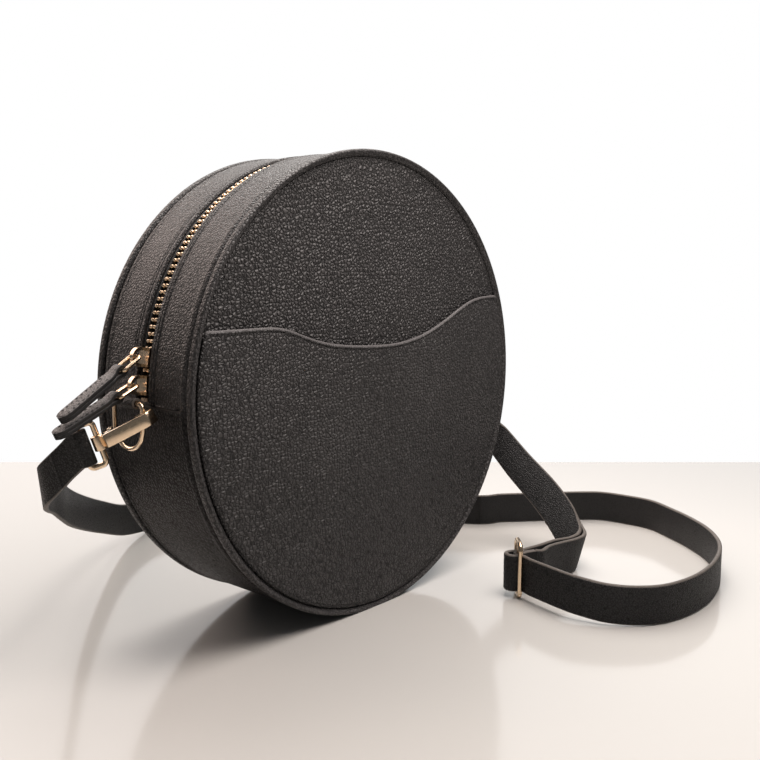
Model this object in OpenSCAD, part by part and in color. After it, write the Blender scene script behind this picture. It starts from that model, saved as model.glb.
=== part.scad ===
// Round cross-body bag of pebbled leather, standing on its edge on a table.
// The bag's axis runs along Y, its pocket side faces -Y, and the origin lies on the table under its centre.
// All lengths are millimetres and all angles are degrees.

/* [Bag] */
// Diameter of the bag over its rims
bag_d = 220; // [200:1:240]
// Depth of the bag over both rims
bag_depth = 67; // [60:1:80]
// How far the bag has rolled about its own axis where it stands
bag_roll = 2.4; // [0:0.1:4]
// Angle by which each side seam lies above the bag's own middle line
seam_lift = 2.4; // [1.5:0.1:3]
// Depth of the flat that the bag stands on
foot_flat = 1; // [0.9:0.1:1.2]
// Thickness of the outer leather
leather_t = 1.4; // [1:0.1:1.6]
// Thickness of the stiffening boards
board_t = 1.2; // [0.8:0.1:1.6]
// Thickness of the lining
lining_t = 0.6; // [0.4:0.1:0.8]
// Gap left for glue between two layers
glue_gap = 0.1; // [0.05:0.01:0.15]

/* [Rims and pocket] */
// Width of each rim across the bag's depth
rim_w = 4; // [3:0.1:5]
// Height of each rim along the bag's radius
rim_h = 3.5; // [3:0.1:4]
// How far each rim stands out past the gusset
rim_lip = 0.8; // [0.5:0.05:1]
// Bevel on the rim's edges
rim_bevel = 0.8; // [0.4:0.1:1]
// How far the rim stands in front of the pocket
rim_proud = 0.15; // [0.1:0.05:0.3]
// Thickness of the pocket's leather
pocket_t = 1.2; // [0.8:0.1:1.4]
// Thickness of the pocket's lining
pocket_lining_t = 0.3; // [0.2:0.05:0.4]
// How far the pocket's lining stops short of its edge
pocket_hem = 4; // [2:0.5:8]

/* [Zip] */
// Width of the opening between the two hems beside the zip
zip_window = 7.6; // [7.4:0.1:9]
// Width of the raised hem beside the zip
hem_w = 3.5; // [2:0.1:5]
// How far the hems stand up from the gusset
hem_lip = 0.25; // [0.1:0.05:0.3]
// Width of each half of the zip's tape
tape_w = 11; // [8:0.5:14]
// Thickness of the zip's tape
tape_t = 0.6; // [0.5:0.05:0.7]
// Height of the zip's teeth
tooth_h = 2.2; // [1.8:0.1:2.4]
// Length of each tooth across the zip
tooth_w = 1.8; // [1.6:0.05:1.9]
// Half the gap along the middle of the closed zip
tooth_gap = 0.35; // [0.3:0.05:0.4]
// Distance from one tooth to the next
tooth_pitch = 3; // [2.5:0.1:5]
// Length of the stops at the ends of the zip
stop_len = 1.5; // [1:0.1:1.6]
// Distance of the stops from the seams
stop_inset = 1; // [0.8:0.1:1.2]
// Length of each zip slider
slider_len = 8; // [7.6:0.1:8.4]
// Width of each zip slider
slider_w = 6.8; // [6.6:0.1:7]
// Thickness of the slider's plates
slider_plate = 1.05; // [0.8:0.05:1.2]
// Width of the slider's side flanges
slider_flange = 0.8; // [0.7:0.05:0.9]
// Clearance between the slider, the teeth and the tape
slider_gap = 0.3; // [0.2:0.05:0.35]
// Thickness of the post inside the slider
slider_post = 0.4; // [0.3:0.05:0.45]
// Distance of the lower slider along the zip from the left side
slider_lower_way = 8.05; // [8:0.05:9.5]
// Distance of the upper slider along the zip from the left side
slider_upper_way = 19.55; // [19:0.05:23]

/* [Zip pulls] */
// Inner radius of the bail on each slider
bail_r = 2.8; // [2.6:0.1:3]
// Thickness of the bail
bail_t = 1.4; // [1.2:0.1:1.5]
// Width of the bail
bail_w = 2.2; // [1.8:0.1:2.6]
// Height of the bail's straight legs
bail_leg = 1.7; // [1.4:0.1:2]
// Diameter of the pull link's wire
link_wire = 1.5; // [1.2:0.1:1.6]
// Length of the pull link between its bars
link_len = 9.5; // [9:0.1:11]
// Width of the pull link between its sides
link_w = 6.8; // [6.4:0.1:7.4]
// Bend radius of the pull link's corners
link_bend = 1.3; // [1:0.1:1.4]
// Length of the upper leather pull from its bar
pull_upper_len = 32; // [26:0.5:36]
// Length of the lower leather pull from its bar
pull_lower_len = 30; // [26:0.5:34]
// Width of the leather pulls
pull_w = 9; // [8:0.1:10]
// Thickness of the leather pulls
pull_t = 3; // [2.4:0.1:3.2]
// Slope of the upper pull below level
pull_upper_slope = 32.5; // [31:0.5:33]
// Slope of the lower pull below level
pull_lower_slope = 24.4; // [23:0.1:25]
// Clearance round a wire in its eye
eye_gap = 0.15; // [0.1:0.01:0.25]

/* [Rings and hooks] */
// Diameter of the D-ring's wire
ring_wire = 1.9; // [1.6:0.1:2.2]
// Width of the D-ring between its legs
ring_w = 19.8; // [18:0.1:21]
// Length of the D-ring's straight legs
ring_leg = 9.2; // [8:0.1:10]
// Bend radius of the D-ring's upper corners
ring_bend = 2; // [1.5:0.1:2.4]
// Distance of the D-ring's bar from the gusset
bar_reach = 7; // [6.5:0.1:8]
// Height of the D-ring's bar above the seam
bar_rise = 1.6; // [1.2:0.1:2.4]
// Width of the leather tab that holds the D-ring
tab_w = 12; // [10:0.5:12.5]
// Thickness of the tab's leather
tab_t = 1.2; // [1:0.1:1.4]
// Inner radius of the hook's claw
claw_r = 3.2; // [3:0.1:3.6]
// Thickness of the hook's claw and shank
claw_t = 2.2; // [2:0.1:2.4]
// Height of the hook's band
hook_h = 5.6; // [5.2:0.1:5.8]
// Distance from the claw's centre to the tail's eye
hook_len = 18.9; // [18:0.1:20]
// Length of the claw's straight tip
claw_tip = 2.6; // [2.2:0.1:2.8]
// Length of the solid block at the root of the hook
hook_root = 4; // [3.6:0.1:4.2]
// Outer radius of the tail's eye
tail_r = 2.7; // [2.5:0.1:2.8]
// Height of the tail's eye
tail_h = 6; // [5:0.1:7]
// Thickness of the spring gate
gate_t = 1.8; // [1.6:0.1:2]
// Height of the spring gate
gate_h = 2.6; // [2.4:0.1:2.8]
// Diameter of the gate's pin
gate_pin_d = 1.2; // [1:0.1:1.4]
// Distance of the gate's pin from the claw's centre
gate_pivot = 13.6; // [13.4:0.1:13.8]
// Reach of the gate's thumb lever
gate_lever = 1.8; // [1:0.1:2.4]
// Clearance round the gate
gate_gap = 0.3; // [0.2:0.05:0.35]
// Diameter of the strap loop's wire
loop_wire = 2.4; // [2.2:0.1:2.6]
// Room beside the strap's end inside the strap loop
loop_room = 3; // [2.6:0.1:3.6]
// Depth of the strap loop between its bars
loop_depth = 6.4; // [6.3:0.1:7]
// Bend radius of the strap loop's corners
loop_bend = 1.8; // [1.5:0.1:2.2]

/* [Strap] */
// Width of the strap
strap_w = 19; // [17:0.5:20]
// Width of the strap where it passes round a loop
strap_end_w = 15; // [12:0.5:15.4]
// Thickness of the strap
strap_t = 2.2; // [1.8:0.1:2.3]
// Thickness of the strap where it is thinned to turn round a loop
turn_t = 1.9; // [1.6:0.1:1.95]
// Thickness of the strap's tail round the adjuster's middle bar
tail_t = 1.5; // [1.2:0.1:1.6]
// Gap where two stretches of the strap meet end to end
joint_gap = 0.3; // [0.2:0.05:0.5]
// Gap between two layers of the strap
ply_gap = 0.1; // [0.05:0.01:0.2]

/* [Adjuster] */
// Diameter of the adjuster's frame wire
frame_wire = 2.4; // [2.2:0.1:2.6]
// Room above and below the strap inside the adjuster's frame
frame_room = 5.2; // [4:0.1:6]
// Distance from the middle bar to each side bar
frame_reach = 6.6; // [6.5:0.1:7.4]
// Bend radius of the frame's corners
frame_bend = 3.2; // [2.6:0.1:3.4]
// Diameter of the adjuster's middle bar
mid_bar_d = 1.8; // [1.6:0.1:2]
// Height of the strap above the frame's lower bar
strap_lift = 1; // [0.5:0.1:2]
// Reach of the strap's turn behind the adjuster
turn_reach = 2.25; // [2:0.05:4]

/* [Hidden] */
$fn = 96;
leather = "#2f2d2d";
leather_edge = "#5a5552";
board_grey = "#9a938a";
lining_tan = "#b09a80";
gold = "#d3ad82";
tape_black = "#1c1b1b";
overrun = bag_depth;

// Layers of the bag, as radii and as distances forward of its middle plane
bag_r = bag_d / 2;
centre_z = bag_r - foot_flat;
rim_front = bag_depth / 2;
rim_back = rim_front - rim_w;
rim_in = bag_r - rim_h;
pocket_face = rim_front - rim_proud;
panel_face = pocket_face - pocket_t - pocket_lining_t - 2 * glue_gap;
panel_back = panel_face - leather_t;
board_back = panel_back - glue_gap - board_t;
lining_back = board_back - glue_gap - lining_t;
panel_r = rim_in - glue_gap;
gusset_r = bag_r - rim_lip;
gusset_in = gusset_r - leather_t;
gusset_f = rim_back - glue_gap;
base_board_r = gusset_in - glue_gap;
base_lining_r = min(base_board_r - board_t, rim_in) - glue_gap;
base_lining_f = lining_back - glue_gap;

// Angles of the seams where the zip's half of the gusset meets the base's half
seam_right = bag_roll + seam_lift;
seam_left = 180 + bag_roll - seam_lift;
seam_gap = glue_gap / gusset_r * 180 / PI;
seam_lip_angle = hem_w / gusset_r * 180 / PI;

// Zip
tape_r = gusset_in - glue_gap;
tape_in = tape_r - tape_t;
tape_f = tooth_gap + tooth_w + glue_gap;
tape_mid = (tape_r + tape_in) / 2;
tooth_r = tape_mid + tooth_h / 2;
tooth_in = tape_mid - tooth_h / 2;
tooth_f = tooth_gap + tooth_w;
stop_angle = stop_len / tape_mid * 180 / PI;
stop_start = stop_inset / tape_mid * 180 / PI;
teeth_margin = stop_start + stop_angle + seam_gap * 2;
teeth_arc = seam_left - seam_right - 2 * teeth_margin;
teeth_count = floor(teeth_arc / 180 * PI * tape_mid / tooth_pitch);
teeth_step = teeth_arc / teeth_count;
tooth_share = 0.55;
tooth_shift_share = 0.45;

// Sliders and bails
slider_top_in = tooth_r + slider_gap;
slider_top = slider_top_in + slider_plate;
slider_low_out = tooth_in - slider_gap;
slider_low = slider_low_out - slider_plate;
slider_half_angle = slider_len / 2 / slider_top * 180 / PI;
post_share = 0.65;
post_fill_share = 0.9;
bail_base = slider_top + glue_gap;
bail_centre = bail_base + bail_leg;
bail_out = bail_r + bail_t;
hinge_r = bail_centre + bail_r - eye_gap - link_wire / 2;
angle_lower = 180 - slider_lower_way / slider_top * 180 / PI;
angle_upper = 180 - slider_upper_way / slider_top * 180 / PI;

// Leather pulls, measured from the far bar of their link
pull_eye_r = link_wire / 2 + eye_gap;
pull_fold_r = pull_eye_r + (pull_t - glue_gap) / 2;
pull_neck_w = link_w - link_wire - 2 * eye_gap;
pull_neck_end = link_wire + eye_gap;
pull_taper_end = 2 * pull_fold_r;

// Ring bars, tabs and hooks; the right side sits higher because the bag has rolled
bar_x = gusset_r + bar_reach;
bar_z_left = centre_z + gusset_r * sin(seam_left) + bar_rise;
bar_z_right = centre_z + gusset_r * sin(seam_right) + bar_rise;
bow_r = ring_w / 2;
tab_eye_r = ring_wire / 2 + eye_gap;
tab_fold_r = tab_eye_r + tab_t;
tab_slope = atan2(bar_rise, bar_reach);
tab_cut_r = gusset_r + hem_lip + glue_gap;
claw_drop_share = 0.66;
claw_left = [-bar_x, -bow_r, bar_z_left - claw_drop_share * ring_leg];
hook_left_dip = 26;
hook_left_yaw = 147.3;
loop_left_dip = 18;
fold_left_turn = -45;
claw_bow_angle = 26;
claw_right = [
    bar_x,
    -bow_r * sin(claw_bow_angle),
    bar_z_right - ring_leg - bow_r * cos(claw_bow_angle)
];
hook_right_dip = 73;
hook_right_yaw = -59;
claw_out = claw_r + claw_t;
root_bite_share = 0.1;
root_start = hook_len - tail_r * (1 - root_bite_share) - hook_root;
ear_r = gate_pin_d / 2 + claw_t / 2;
gate_y = claw_r + gate_t / 2;
gate_tip = claw_tip + gate_gap;
gate_eye_r = gate_pin_d / 2 + glue_gap / 2;
gate_lever_share = 0.4;
slot_h = gate_h + 2 * gate_gap;
loop_w = strap_end_w + loop_room;
tail_eye_r = loop_wire / 2 + eye_gap;
fold_r = loop_wire / 2 + eye_gap;
fold_mid = fold_r + turn_t / 2;
ply_start_share = 0.8;
ply_start = ply_start_share * turn_t;

function tilt(dip, yaw) = [cos(dip) * cos(yaw), cos(dip) * sin(yaw), -sin(dip)];
function tilt_up(dip, yaw) = [sin(dip) * cos(yaw), sin(dip) * sin(yaw), cos(dip)];
function tilt_side(yaw) = [-sin(yaw), cos(yaw), 0];
tail_left = claw_left + hook_len * tilt(hook_left_dip, hook_left_yaw);
tail_right = claw_right + hook_len * tilt(hook_right_dip, hook_right_yaw);
far_bar_left = tail_left + loop_depth * tilt(loop_left_dip, hook_left_yaw);
far_bar_right = tail_right + loop_depth * tilt(hook_right_dip, hook_right_yaw);
fold_left_along = cos(fold_left_turn) * tilt(loop_left_dip, hook_left_yaw)
    + sin(fold_left_turn) * tilt_side(hook_left_yaw);
fold_left_out = -sin(fold_left_turn) * tilt(loop_left_dip, hook_left_yaw)
    + cos(fold_left_turn) * tilt_side(hook_left_yaw);

// Adjuster: its frame stands square to the direction frame_turn
adjuster_x_share = 0.258;
adjuster_y_share = -0.352;
adjuster_at = [adjuster_x_share * bag_d, adjuster_y_share * bag_d, 0];
frame_turn = 41.2;
across = [cos(frame_turn), sin(frame_turn), 0];
through = [sin(frame_turn), -cos(frame_turn), 0];
frame_h = strap_w + frame_room + 2 * frame_wire;
mid_fold_r = mid_bar_d / 2 + eye_gap;
mid_fold_out = mid_fold_r + tail_t;
slot_mid = (mid_fold_out + frame_reach - frame_wire / 2) / 2;
wrap_r = frame_reach - slot_mid;
frame_strap_z = frame_wire + strap_lift + strap_w / 2;
strap_z = strap_w / 2;
tail_turn = 24;
tail_len = 4 * mid_fold_out;
function by_frame(s, a, z) = adjuster_at + s * through + a * across + [0, 0, z];

// Strap routes: points as shares of the bag's diameter, with the direction across the strap
near_leg_angle = -66;
far_leg_angle = 52;
layer_off = (strap_t + ply_gap) / 2;
leg_step = 2 * wrap_r;
function leg_exit(angle, side) =
    [wrap_r * cos(side * (90 - abs(angle))), side * (frame_reach - wrap_r * sin(90 - abs(angle)))];
near_exit = leg_exit(near_leg_angle, -1);
far_exit = leg_exit(far_leg_angle, 1);
route_steps = 6;
up = [0, 0, 1];
drop_shares = [
    [-0.636, 0.041, 0.402], [-0.645, 0.068, 0.377], [-0.648, 0.098, 0.354], [-0.632, 0.132, 0.336],
    [-0.602, 0.173, 0.320], [-0.564, 0.223, 0.300], [-0.513, 0.282, 0.265], [-0.441, 0.373, 0.219],
    [-0.345, 0.477, 0.168], [-0.236, 0.577, 0.117], [-0.118, 0.664, 0.0682], [0, 0.723, 0.0455]
];
drop_sides = [
    [-0.25, 0.14, 0.95], [-0.22, 0.1, 0.97], [-0.15, 0.05, 0.98], [-0.08, 0.02, 1],
    [-0.04, 0, 1], [-0.02, 0, 1], up, up, up, up, up, up
];
behind_shares = [
    [0.114, 0.745], [0.205, 0.736], [0.295, 0.709], [0.386, 0.659], [0.464, 0.577],
    [0.523, 0.450], [0.568, 0.300], [0.618, 0.159], [0.682, 0.050]
];
front_shares = [
    [0.736, 0.018], [0.782, -0.023], [0.873, -0.105], [0.923, -0.155], [0.955, -0.200],
    [0.964, -0.273], [0.959, -0.350], [0.914, -0.427], [0.864, -0.500], [0.795, -0.577],
    [0.705, -0.641], [0.605, -0.680], [0.495, -0.700], [0.400, -0.698], [0.318, -0.676],
    [0.264, -0.636], [0.232, -0.591], [0.218, -0.545], [0.214, -0.495]
];
front_rise_shares = [0, 0, 0, 0, 0, 0, 0, 0, 0, 0, 0, 0, 0, 0, 0, 0.1, 0.3, 0.6, 0.9];
riser_shares = [
    [0.553, -0.0645, 0.3185], [0.564, -0.080, 0.295], [0.5695, -0.111, 0.261], [0.5705, -0.155, 0.220],
    [0.568, -0.230, 0.161], [0.561, -0.282, 0.114], [0.549, -0.320, 0.073], [0.5295, -0.352, 0.0495],
    [0.486, -0.361, 0.0445], [0.427, -0.354, 0.0473]
];
riser_sides = [
    [0.5, -0.75, 0.35], [0.5, -0.6, 0.55], [0.5, -0.5, 0.68], [0.5, -0.43, 0.74],
    [0.5, -0.42, 0.75], [0.53, -0.45, 0.72], [0.46, -0.32, 0.83], [0.34, -0.15, 0.93],
    [0.2, -0.05, 0.97], [0.06, 0, 1]
];
outer_end_shares = [[0.368, -0.366, 0.0523], [0.322, -0.3765, 0.0555]];
inner_end_shares = [[0.364, -0.345, 0.0523], [0.3245, -0.3445, 0.0555]];

// Routes are lists of [point, side, width, offset]
function spread(points, sides, widths, offsets) =
    [for (i = [0:len(points) - 1]) [points[i], sides[i], widths[i], offsets[i]]];
function mixed(a, b, c, d, t) =
    0.5 * (2 * b + (c - a) * t + (2 * a - 5 * b + 4 * c - d) * t * t + (3 * b - a - 3 * c + d) * t * t * t);
function smooth(stations) = let (last = len(stations) - 1) [
    for (i = [0:last - 1])
        for (k = [0:route_steps - 1])
            [for (j = [0:3]) mixed(
                stations[max(i - 1, 0)][j], stations[i][j],
                stations[i + 1][j], stations[min(i + 2, last)][j], k / route_steps)],
    stations[last]
];
function unit(v) = v / norm(v);
function headings(rows) = [
    for (i = [0:len(rows) - 1])
        unit(rows[min(i + 1, len(rows) - 1)][0] - rows[max(i - 1, 0)][0])
];
// Each framed row is [point, side, normal, width, offset]
function framed(rows) = let (ahead = headings(rows)) [
    for (i = [0:len(rows) - 1])
        let (side = unit(rows[i][1]))
            [rows[i][0], side, unit(cross(side, ahead[i])), rows[i][2], rows[i][3]]
];
function part_of(rows, from, to) = [for (i = [from:to]) rows[i]];
function shifted(rows, off) = [for (r = rows) [r[0], r[1], r[2], r[3], off]];

taper_stations = 4;
function widening(count) =
    [for (i = [0:count - 1]) min(strap_w, strap_end_w + (strap_w - strap_end_w) * i / taper_stations)];
// A route whose first stations shift with its start, and whose later ones keep their shares of the bag
function led(shares, start, start_share) = [
    for (i = [0:len(shares) - 1])
        shares[i] * bag_d + max(0, 1 - (i + 1) / lead_stations) * (start - start_share * bag_d)
];
lead_stations = 7;
stitched_rows = 2 * route_steps - 2;
drop_start = far_bar_left + ply_start * fold_left_along + fold_mid * fold_left_out;
drop_start_share = [-0.6278, 0.0160, 0.4251];
drop_points = led(drop_shares, drop_start, drop_start_share);
drop_last = len(drop_points) - 1;
behind_points = [for (p = behind_shares) [p[0] * bag_d, p[1] * bag_d, strap_z]];
drop_curve = framed(smooth(spread(
    concat([drop_start], drop_points, part_of(behind_points, 0, 1)),
    concat([tilt_up(loop_left_dip, hook_left_yaw)], drop_sides, [up, up]),
    concat([strap_end_w], widening(len(drop_shares)), [strap_w, strap_w]),
    [for (i = [0:drop_last + 3]) 0])));
drop_rows = part_of(drop_curve, 0, len(drop_curve) - 1 - 2 * route_steps);

behind_rows = framed(smooth(plain(concat(
    part_of(drop_points, drop_last - 2, drop_last),
    behind_points,
    [for (i = [0, 1]) [front_shares[i][0] * bag_d, front_shares[i][1] * bag_d, strap_z]]))));

behind_last = len(behind_shares) - 1;
front_path = concat(
    part_of(behind_points, behind_last - 2, behind_last),
    [for (i = [0:len(front_shares) - 1]) [
        front_shares[i][0] * bag_d,
        front_shares[i][1] * bag_d,
        strap_z + front_rise_shares[i] * (frame_strap_z - strap_z)
    ]],
    [by_frame(
        near_exit[0] + leg_step * cos(near_leg_angle),
        near_exit[1] + leg_step * sin(near_leg_angle),
        frame_strap_z)]
);
turn_arc = 12;
exit_arc = 4;
turn_path = concat(
    [for (k = [0:exit_arc]) let (t = 90 - abs(near_leg_angle) + k / exit_arc * abs(near_leg_angle))
        by_frame(wrap_r * cos(t), -frame_reach + wrap_r * sin(t), frame_strap_z)],
    [for (k = [0:turn_arc]) let (t = -90 - 180 * k / turn_arc)
        by_frame(-turn_reach + slot_mid * cos(t), slot_mid * sin(t), frame_strap_z)],
    [for (k = [0:exit_arc]) let (t = 90 - k / exit_arc * far_leg_angle)
        by_frame(wrap_r * cos(t), frame_reach - wrap_r * sin(t), frame_strap_z)]
);
function plain(points) = [for (p = points) [p, up, strap_w, 0]];
front_curve = framed(concat(smooth(plain(front_path)), plain(turn_path)));
front_rows = part_of(front_curve, 2 * route_steps, len(front_curve) - 1);

riser_start = far_bar_right + (ply_start + joint_gap) * tilt(hook_right_dip, hook_right_yaw);
riser_start_share = [0.5475, -0.0526, 0.3434];
riser_before = riser_start - loop_depth * tilt(hook_right_dip, hook_right_yaw);
riser_points = led(riser_shares, riser_start, riser_start_share);
riser_offsets = layer_off * [1.2, 1.05, 1.05, 1.05, 1.05, 1.15, 1.2, 1.35, 1.5, 2.2];
tail_reach = tail_len + joint_gap;
tail_end = [
    tail_reach * cos(tail_turn) - (tail_t + ply_gap) / 2 * sin(tail_turn),
    tail_reach * sin(tail_turn) + (tail_t + ply_gap) / 2 * cos(tail_turn)
];
far_end = far_exit + joint_gap * [cos(far_leg_angle), sin(far_leg_angle)];
function riser(side, end_shares, end) = let (rows = framed(smooth(spread(
    concat([riser_before, riser_start], riser_points, end_shares * bag_d, [by_frame(end[0], end[1], frame_strap_z)]),
    concat([for (i = [0, 1]) tilt_up(hook_right_dip, hook_right_yaw)], riser_sides, [up, up, up]),
    concat([strap_end_w, strap_end_w], widening(len(riser_shares)), [strap_w, strap_w, strap_w]),
    side * concat([fold_mid, fold_mid], riser_offsets, [0, 0, 0])
)))) part_of(rows, route_steps, len(rows) - 1);
outer_rows = riser(1, outer_end_shares, tail_end);
inner_rows = riser(-1, inner_end_shares, far_end);

// A flat band swept along framed rows
function corner(row, side, face, t) =
    row[0] + row[2] * (row[4] + face * t / 2) + row[1] * side * row[3] / 2;
module band(rows, t) {
    last = len(rows) - 1;
    points = [for (r = rows) each [
        corner(r, -1, -1, t), corner(r, 1, -1, t), corner(r, 1, 1, t), corner(r, -1, 1, t)
    ]];
    walls = [for (i = [0:last - 1]) for (k = [0:3])
        let (a = 4 * i + k, b = 4 * i + (k + 1) % 4)
            each [[a, b, b + 4], [a, b + 4, a + 4]]];
    ends = [[0, 2, 1], [0, 3, 2], [4 * last, 4 * last + 1, 4 * last + 2], [4 * last, 4 * last + 2, 4 * last + 3]];
    polyhedron(points = points, faces = concat(walls, ends));
}

// Places of the bag: children in the plane of the bag's disc, with local z toward its pocket side
module on_disc(forward)
    translate([0, 0, centre_z]) rotate([90, 0, 0]) translate([0, 0, forward]) children();

module at_polar(angle)
    translate([0, 0, centre_z]) rotate([90, 0, 0]) rotate([0, 0, angle]) children();

// A band round the bag's axis, between two distances forward of the middle plane
module drum(r_in, r_out, f_from, f_to, a_from, a_to)
    at_polar(a_from)
        rotate_extrude(angle = a_to - a_from)
            translate([r_in, f_from])
                square([r_out - r_in, f_to - f_from]);

module arc_block(r_in, r_out, f_from, f_to, half)
    rotate([0, 0, -half])
        rotate_extrude(angle = 2 * half)
            translate([r_in, f_from])
                square([r_out - r_in, f_to - f_from]);

module cut_foot()
    difference() {
        children();
        translate([-bag_r, -bag_depth, -bag_r]) cube([bag_d, 2 * bag_depth, bag_r]);
    }

module behind() mirror([0, 1, 0]) children();

// Front and back of the bag
module disc_layer(face, thickness) on_disc(face - thickness) cylinder(h = thickness, r = panel_r);

module rim()
    cut_foot()
        at_polar(0)
            rotate_extrude()
                polygon([
                    [rim_in, rim_back],
                    [bag_r - rim_bevel, rim_back],
                    [bag_r, rim_back + rim_bevel],
                    [bag_r, rim_front - rim_bevel],
                    [bag_r - rim_bevel, rim_front],
                    [rim_in + rim_bevel / 2, rim_front],
                    [rim_in, rim_front - rim_bevel / 2]
                ]);

module front_panel() color(leather) disc_layer(panel_face, leather_t);
module front_board() color(board_grey) disc_layer(panel_back - glue_gap, board_t);
module front_lining() color(lining_tan) disc_layer(board_back - glue_gap, lining_t);
module front_rim() color(leather) rim();
module back_panel() color(leather) behind() disc_layer(panel_face, leather_t);
module back_board() color(board_grey) behind() disc_layer(panel_back - glue_gap, board_t);
module back_lining() color(lining_tan) behind() disc_layer(board_back - glue_gap, lining_t);
module back_rim() color(leather) behind() rim();

// The pocket's upper edge, left to right, as shares of the panel's radius from the bag's centre
pocket_edge_shares = [
    [-1.05, 0.335], [-0.95, 0.334], [-0.85, 0.33], [-0.75, 0.326], [-0.66, 0.322], [-0.59, 0.315],
    [-0.52, 0.297], [-0.44, 0.266], [-0.35, 0.235], [-0.25, 0.212], [-0.14, 0.196], [-0.03, 0.185],
    [0.09, 0.178], [0.2, 0.182], [0.31, 0.197], [0.42, 0.225], [0.52, 0.26], [0.61, 0.295],
    [0.7, 0.325], [0.78, 0.339], [0.86, 0.342], [0.95, 0.34], [1.05, 0.338]
];
module pocket_layer(face, thickness, short)
    at_polar(bag_roll)
        translate([0, 0, face - thickness])
            intersection() {
                cylinder(h = thickness, r = panel_r);
                linear_extrude(height = thickness)
                    polygon(concat(
                        [for (p = pocket_edge_shares) [p[0] * panel_r, p[1] * panel_r - short]],
                        [[bag_r, -bag_r], [-bag_r, -bag_r]]));
            }
module pocket_panel() color(leather) pocket_layer(pocket_face, pocket_t, 0);
module pocket_lining()
    color(lining_tan) pocket_layer(panel_face + glue_gap + pocket_lining_t, pocket_lining_t, pocket_hem);

// The base half of the gusset, with a turned edge at each seam
module base_gusset()
    color(leather)
        cut_foot() {
            drum(gusset_in, gusset_r, -gusset_f, gusset_f, seam_left + seam_gap, seam_right + 360 - seam_gap);
            for (a = [seam_left + 2 * seam_gap, seam_right + 360 - 2 * seam_gap - seam_lip_angle])
                drum(gusset_r - hem_lip, gusset_r + hem_lip, -gusset_f + glue_gap, gusset_f - glue_gap,
                    a, a + seam_lip_angle);
        }
module base_board()
    color(board_grey)
        drum(base_board_r - board_t, base_board_r, -gusset_f, gusset_f,
            seam_left + seam_gap, seam_right + 360 - seam_gap);
module base_lining()
    color(lining_tan)
        drum(base_lining_r - lining_t, base_lining_r, -base_lining_f, base_lining_f,
            seam_left + seam_gap, seam_right + 360 - seam_gap);

// The zip half of the gusset, its lining, tapes, teeth and stops
module zip_gusset() {
    drum(gusset_in, gusset_r, zip_window / 2, gusset_f, seam_right, seam_left);
    drum(gusset_r - hem_lip, gusset_r + hem_lip, zip_window / 2, zip_window / 2 + hem_w, seam_right, seam_left);
}
module zip_gusset_front() color(leather) zip_gusset();
module zip_gusset_back() color(leather) behind() zip_gusset();

module zip_lining() drum(tape_in, tape_r, tape_f + tape_w + glue_gap, gusset_f, seam_right, seam_left);
module zip_lining_front() color(lining_tan) zip_lining();
module zip_lining_back() color(lining_tan) behind() zip_lining();

module zip_tape() drum(tape_in, tape_r, tape_f, tape_f + tape_w, seam_right, seam_left);
module zip_tape_front() color(tape_black) zip_tape();
module zip_tape_back() color(tape_black) behind() zip_tape();

// One row of teeth: a comb in the plane of the disc, where each tooth stands up from the tape's edge
module zip_teeth(shift) {
    low = tape_mid + tape_t / 2;
    start = seam_right + teeth_margin;
    tooth_angles = [for (i = [0:teeth_count - 1]) start + (i + shift) * teeth_step];
    outer = [for (a = tooth_angles) each [
        [low, a], [tooth_r, a + glue_gap],
        [tooth_r, a + tooth_share * teeth_step], [low, a + tooth_share * teeth_step]
    ]];
    inner = [for (i = [0:teeth_count - 1]) [tooth_in, tooth_angles[teeth_count - 1 - i]]];
    at_polar(0)
        translate([0, 0, tooth_gap])
            linear_extrude(height = tooth_w)
                polygon([for (p = concat(outer, inner)) p[0] * [cos(p[1]), sin(p[1])]]);
}
module zip_teeth_front() color(gold) zip_teeth(0);
module zip_teeth_back() color(gold) behind() zip_teeth(tooth_shift_share);

module zip_stops()
    color(gold) {
        drum(tooth_in, tooth_r, -tooth_f, tooth_f, seam_left - stop_start - stop_angle, seam_left - stop_start);
        drum(tooth_in, tooth_r, -tooth_f, tooth_f, seam_right + stop_start, seam_right + stop_start + stop_angle);
    }

// A zip slider: two plates with side flanges, joined by a post at the nose
module slider(nose) {
    difference() {
        arc_block(slider_low, slider_top, -slider_w / 2, slider_w / 2, slider_half_angle);
        arc_block(slider_low_out, slider_top_in, slider_flange - slider_w / 2, slider_w / 2 - slider_flange,
            2 * slider_half_angle);
        arc_block(tape_in - slider_gap, tape_r + slider_gap, -slider_w, slider_w, 2 * slider_half_angle);
    }
    rotate([0, 0, nose * slider_half_angle * post_share])
        arc_block(slider_low_out - glue_gap, slider_top_in + glue_gap, -slider_post / 2, slider_post / 2,
            slider_half_angle * (1 - post_share) * post_fill_share);
}

// The bail, an arch on top of the slider that holds the pull's link
module bail()
    translate([0, 0, -bail_w / 2])
        linear_extrude(height = bail_w)
            difference() {
                union() {
                    translate([bail_centre, 0]) circle(bail_out);
                    translate([bail_base, -bail_out]) square([bail_leg, 2 * bail_out]);
                }
                translate([bail_centre, 0]) circle(bail_r);
                translate([0, -bail_r]) square([bail_centre, 2 * bail_r]);
                translate([0, -bag_r]) square([bail_base, bag_d]);
            }

// Straight wires along X or Y, and bent wires in the XY plane
module wire_x(length, r) translate([-length / 2, 0, 0]) rotate([0, 90, 0]) cylinder(h = length, r = r);
module wire_y(length, r) translate([0, length / 2, 0]) rotate([90, 0, 0]) cylinder(h = length, r = r);
module wire_arc(bend, r, from, to)
    rotate([0, 0, from]) rotate_extrude(angle = to - from) translate([bend, 0]) circle(r);

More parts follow.
